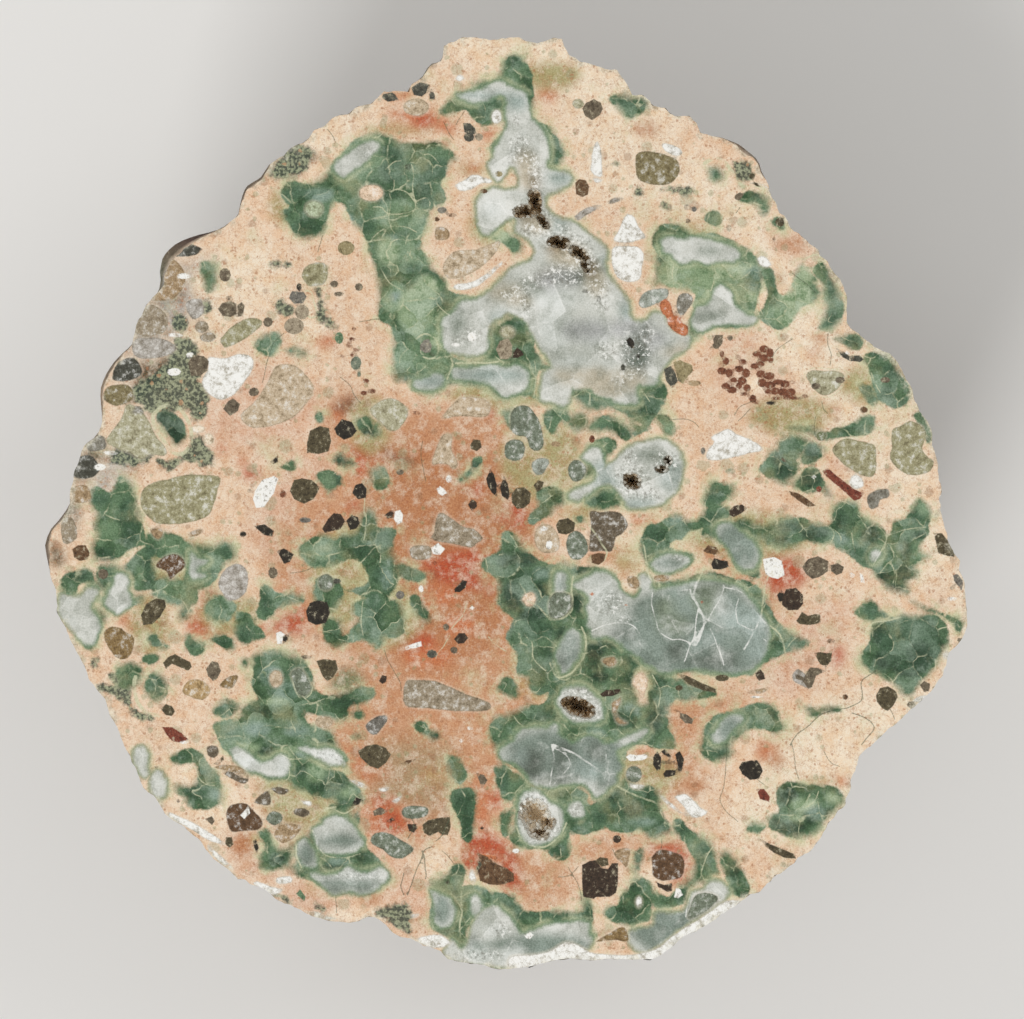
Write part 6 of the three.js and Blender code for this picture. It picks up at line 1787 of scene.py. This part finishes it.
def quartz_over(nodes, place, colour, uneven, wide, druse_away):
    """Cloudy quartz with white wisps, a green border, and painted glints and painted shade where small
    points sit.
    """
    tone, away = nodes.layer("quartz")
    away = nodes.maths("MULTIPLY_ADD", uneven, 1.3, away)
    away = nodes.maths("ADD", away, centred(nodes, nodes.grain(place, 1.3, 4.0, 0.65, 19.0), 0.5))
    present = nodes.patches(0.36, 0.6, place, 1.8, 3.0, 0.6, 22.0)
    border = nodes.fade(away, 0.08, 0.5)
    outer = nodes.maths("MULTIPLY", nodes.fade(away, 0.3, 0.9), present)
    colour = nodes.tint(colour, outer, 0.5, "green_halo")
    colour = nodes.tint(colour, border, 0.7, "quartz_rim")
    cloud = nodes.band(wide, 0.36, 0.66)
    tone = nodes.tint(tone, cloud, 0.4, "quartz_shade", "MULTIPLY")
    wisp = nodes.patches(0.46, 0.74, place, 2.2, 6.0, 0.62, 26.0)
    tone = nodes.tint(tone, wisp, 0.55, "quartz_light")
    murk = nodes.patches(0.46, 0.7, place, 1.5, 6.0, 0.68, 27.0)
    tone = nodes.tint(tone, murk, 0.5, "quartz_shade", "MULTIPLY")
    facets = nodes.cells(place, 3.4)
    facet = nodes.maths("MULTIPLY", nodes.parts(facets.outputs["Color"])[0], 0.5)
    tone = nodes.mix(facet, tone, colour4("quartz_shade"), "MULTIPLY")
    edge = nodes.cells(place, 3.4, "DISTANCE_TO_EDGE").outputs["Distance"]
    seam = nodes.maths("MULTIPLY", nodes.fade(edge, 0.0, 0.035), wisp)
    tone = nodes.tint(tone, seam, 0.6, "white")
    # Painted shade between small quartz points and painted glints on them, where they sit on the cut
    grit = nodes.grain(place, 0.3, 3.0, 0.7, 4.0)
    druse = nodes.fade(nodes.maths("ADD", druse_away, uneven), -0.5, 0.4)
    dark = nodes.maths("MULTIPLY", druse, nodes.fade(grit, 0.36, 0.5))
    tone = nodes.tint(tone, dark, 0.55, "druse_shadow")
    painted_glint = nodes.maths("MULTIPLY", druse, nodes.band(grit, 0.53, 0.62))
    tone = nodes.tint(tone, painted_glint, 0.8, "white")
    cover = nodes.fade(away, -0.3, 0.22)
    return nodes.mix(cover, colour, tone)


def clast_over(nodes, place, colour, fine, ragged):
    """Bits of older rock, mottled, with a thin dark outline and pale edge."""
    tone, away = nodes.layer("clast")
    away = nodes.maths("ADD", nodes.maths("MULTIPLY_ADD", ragged, 0.45, fine), away)
    mottle = nodes.grain(place, 0.7, 6.0, 0.75, 2.0)
    tone = nodes.tint(tone, nodes.band(mottle, 0.48, 0.66), 0.75, "clast_shade", "MULTIPLY")
    tone = nodes.tint(tone, nodes.band(mottle, 0.5, 0.36), 0.55, "white")
    thread = ridge(nodes, place, 0.9, 29.0)
    tone = nodes.tint(tone, thread, 0.4, "clast_shade", "MULTIPLY")
    edge = nodes.fade(nodes.maths("ABSOLUTE", away), 0.0, 0.16)
    tone = nodes.tint(tone, edge, 0.4, "clast_shade", "MULTIPLY")
    halo = nodes.fade(away, 0.05, 0.3)
    colour = nodes.tint(colour, halo, 0.2, "ground_light")
    cover = nodes.fade(away, -0.09, 0.07)
    return nodes.mix(cover, colour, tone)


def crystal_over(nodes, place, colour, fine, ragged):
    """Small single crystals, sharp-edged, some flecked."""
    tone, away = nodes.layer("crystal")
    away = nodes.maths("ADD", nodes.maths("MULTIPLY_ADD", ragged, 0.25, fine), away)
    fleck = nodes.grain(place, 0.42, 4.0, 0.75, 6.0)
    tone = nodes.tint(tone, nodes.band(fleck, 0.54, 0.66), 0.6, "fleck")
    tone = nodes.tint(tone, nodes.band(fleck, 0.5, 0.36), 0.75, "crystal_shade", "MULTIPLY")
    cover = nodes.fade(away, -0.06, 0.05)
    return nodes.mix(cover, colour, tone)


def rough_rind(group):
    """The weathered back and the broken edge of the cut."""
    material, nodes, shader = new_material("rough_rind")
    place = nodes.place()
    ground, _ = nodes.layer("ground")
    patch = nodes.patches(0.38, 0.64, place, 2.2, 5.0, 0.65)
    colour = nodes.tint(ground, patch, 0.55, "rind_shade", "MULTIPLY")
    light = nodes.patches(0.52, 0.72, place, 0.7, 4.0, 0.7, 3.0)
    colour = nodes.tint(colour, light, 0.4, "rind_light")
    grit = specks(nodes, group, place, 0.6, 0.4)
    colour = nodes.tint(colour, grit, 0.55, "rind_grit")
    rough = nodes.maths("MULTIPLY_ADD", patch, 0.2, 0.7)
    height = nodes.maths("MULTIPLY_ADD", nodes.grain(place, 0.5, 5.0, 0.7, 1.0), 1.0,
                         nodes.grain(place, 1.8, 3.0, 0.6, 2.0))
    relief = nodes.add("Bump", {"Height": height, "Strength": 0.8, "Distance": 0.0005})
    nodes.feed(shader, {"Base Color": colour, "Roughness": rough, "Normal": relief.outputs["Normal"]})
    return material


def sugar_quartz():
    """Small quartz points, white to brown, with bright facets."""
    material, nodes, shader = new_material("sugar_quartz")
    place = nodes.place()
    tint, _ = nodes.layer("tint")
    cloud = nodes.patches(0.35, 0.7, place, 0.35, 2.0)
    colour = nodes.tint(tint, cloud, 0.25, "quartz_shade", "MULTIPLY")
    rough = nodes.maths("MULTIPLY_ADD", cloud, 0.1, 0.12)
    nodes.feed(shader, {"Base Color": colour, "Roughness": rough, "IOR": 1.55})
    return material


def plain_floor():
    material, nodes, shader = new_material("pale_floor")
    tone = nodes.grain(nodes.place(), 60.0, 2.0)
    colour = nodes.mix(nodes.maths("MULTIPLY", tone, 0.04), (*FLOOR_COLOUR, 1), (0.5, 0.5, 0.5, 1))
    nodes.feed(shader, {"Base Color": colour, "Roughness": 0.9})
    return material


# Studio


def studio():
    camera = bpy.data.objects.new("camera", bpy.data.cameras.new("camera"))
    camera.data.lens = LENS
    camera.data.sensor_width = SENSOR
    camera.data.clip_end = 20
    low, high = cad_box
    camera.location = (*VIEW_CENTRE, high[2] + LENS / SENSOR * VIEW_WIDTH)
    bpy.context.scene.collection.objects.link(camera)
    bpy.context.scene.camera = camera
    bpy.ops.object.select_all(action="DESELECT")
    bpy.ops.mesh.primitive_plane_add(size=FLOOR_SIZE, location=(0, 0, low[2]))
    floor = bpy.context.object
    floor.name = "floor"
    bpy.ops.object.transform_apply(location=True, rotation=True, scale=True)
    floor.data.materials.append(plain_floor())
    for name, place, size, watts in SOFTBOXES:
        light = bpy.data.lights.new(name, "AREA")
        light.energy = watts
        light.shape = "SQUARE"
        light.size = size
        lamp = bpy.data.objects.new(name, light)
        lamp.location = place
        aim = Vector((0, 0, high[2])) - Vector(place)
        lamp.rotation_euler = aim.to_track_quat("-Z", "Y").to_euler()
        bpy.context.scene.collection.objects.link(lamp)
    world = bpy.data.worlds.new("studio_air")
    world.use_nodes = True
    background = world.node_tree.nodes["Background"]
    background.inputs["Color"].default_value = (1.0, 0.99, 0.97, 1)
    background.inputs["Strength"].default_value = WORLD_STRENGTH
    bpy.context.scene.world = world
    bpy.context.scene.view_settings.view_transform = "Standard"


studio()

GROUND_ROWS = outlines(GROUND, 0.3)
STAIN_ROWS = outlines(STAINS, 0.2)
GREEN_ROWS = outlines(GREENS, 0.12)
TONE_ROWS = outlines(GREEN_TONES, 0.1)
QUARTZ_ROWS = outlines(QUARTZ, 0.15)
QUARTZ_TONE_ROWS = outlines(QUARTZ_TONES, 0.15)
CLAST_ROWS = outlines(CLASTS, 0.07)
CRYSTAL_ROWS = outlines(CRYSTALS, 0.04, rounded=False)
MOSS_ROWS = outlines(MOSS, 0.2)
SPARKLE_ROWS = outlines(SPARKLES, 0.1)
RIND_ROWS = outlines(RIND, 0.2)
PALE_ROWS = strokes(PALE_LINES, 0.1)
DARK_ROWS = strokes(CRACKS, 0.1)

closed_shapes = [shape for rows in (GREEN_ROWS, QUARTZ_ROWS, CLAST_ROWS, CRYSTAL_ROWS) for _, shape in rows]
open_shapes = [points for rows in (PALE_ROWS, DARK_ROWS) for _, points in rows]
stone, face_height, back_count, rim = stone_piece(closed_shapes, open_shapes)
mark_stone(stone, face_height, back_count, rim)

speck_group = speckle_group()
stone.data.materials.append(polished_face(speck_group))
stone.data.materials.append(rough_rind(speck_group))
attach(stone, "root")
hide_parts("nodule")

point = crystal_form()
druse_material = sugar_quartz()
for number, (node, pods) in enumerate(HOLLOWS.items()):
    crust = druse(node, pods, point, face_height, 100 + number)
    crust.data.materials.append(druse_material)
    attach(crust, "root")
    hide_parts(node)
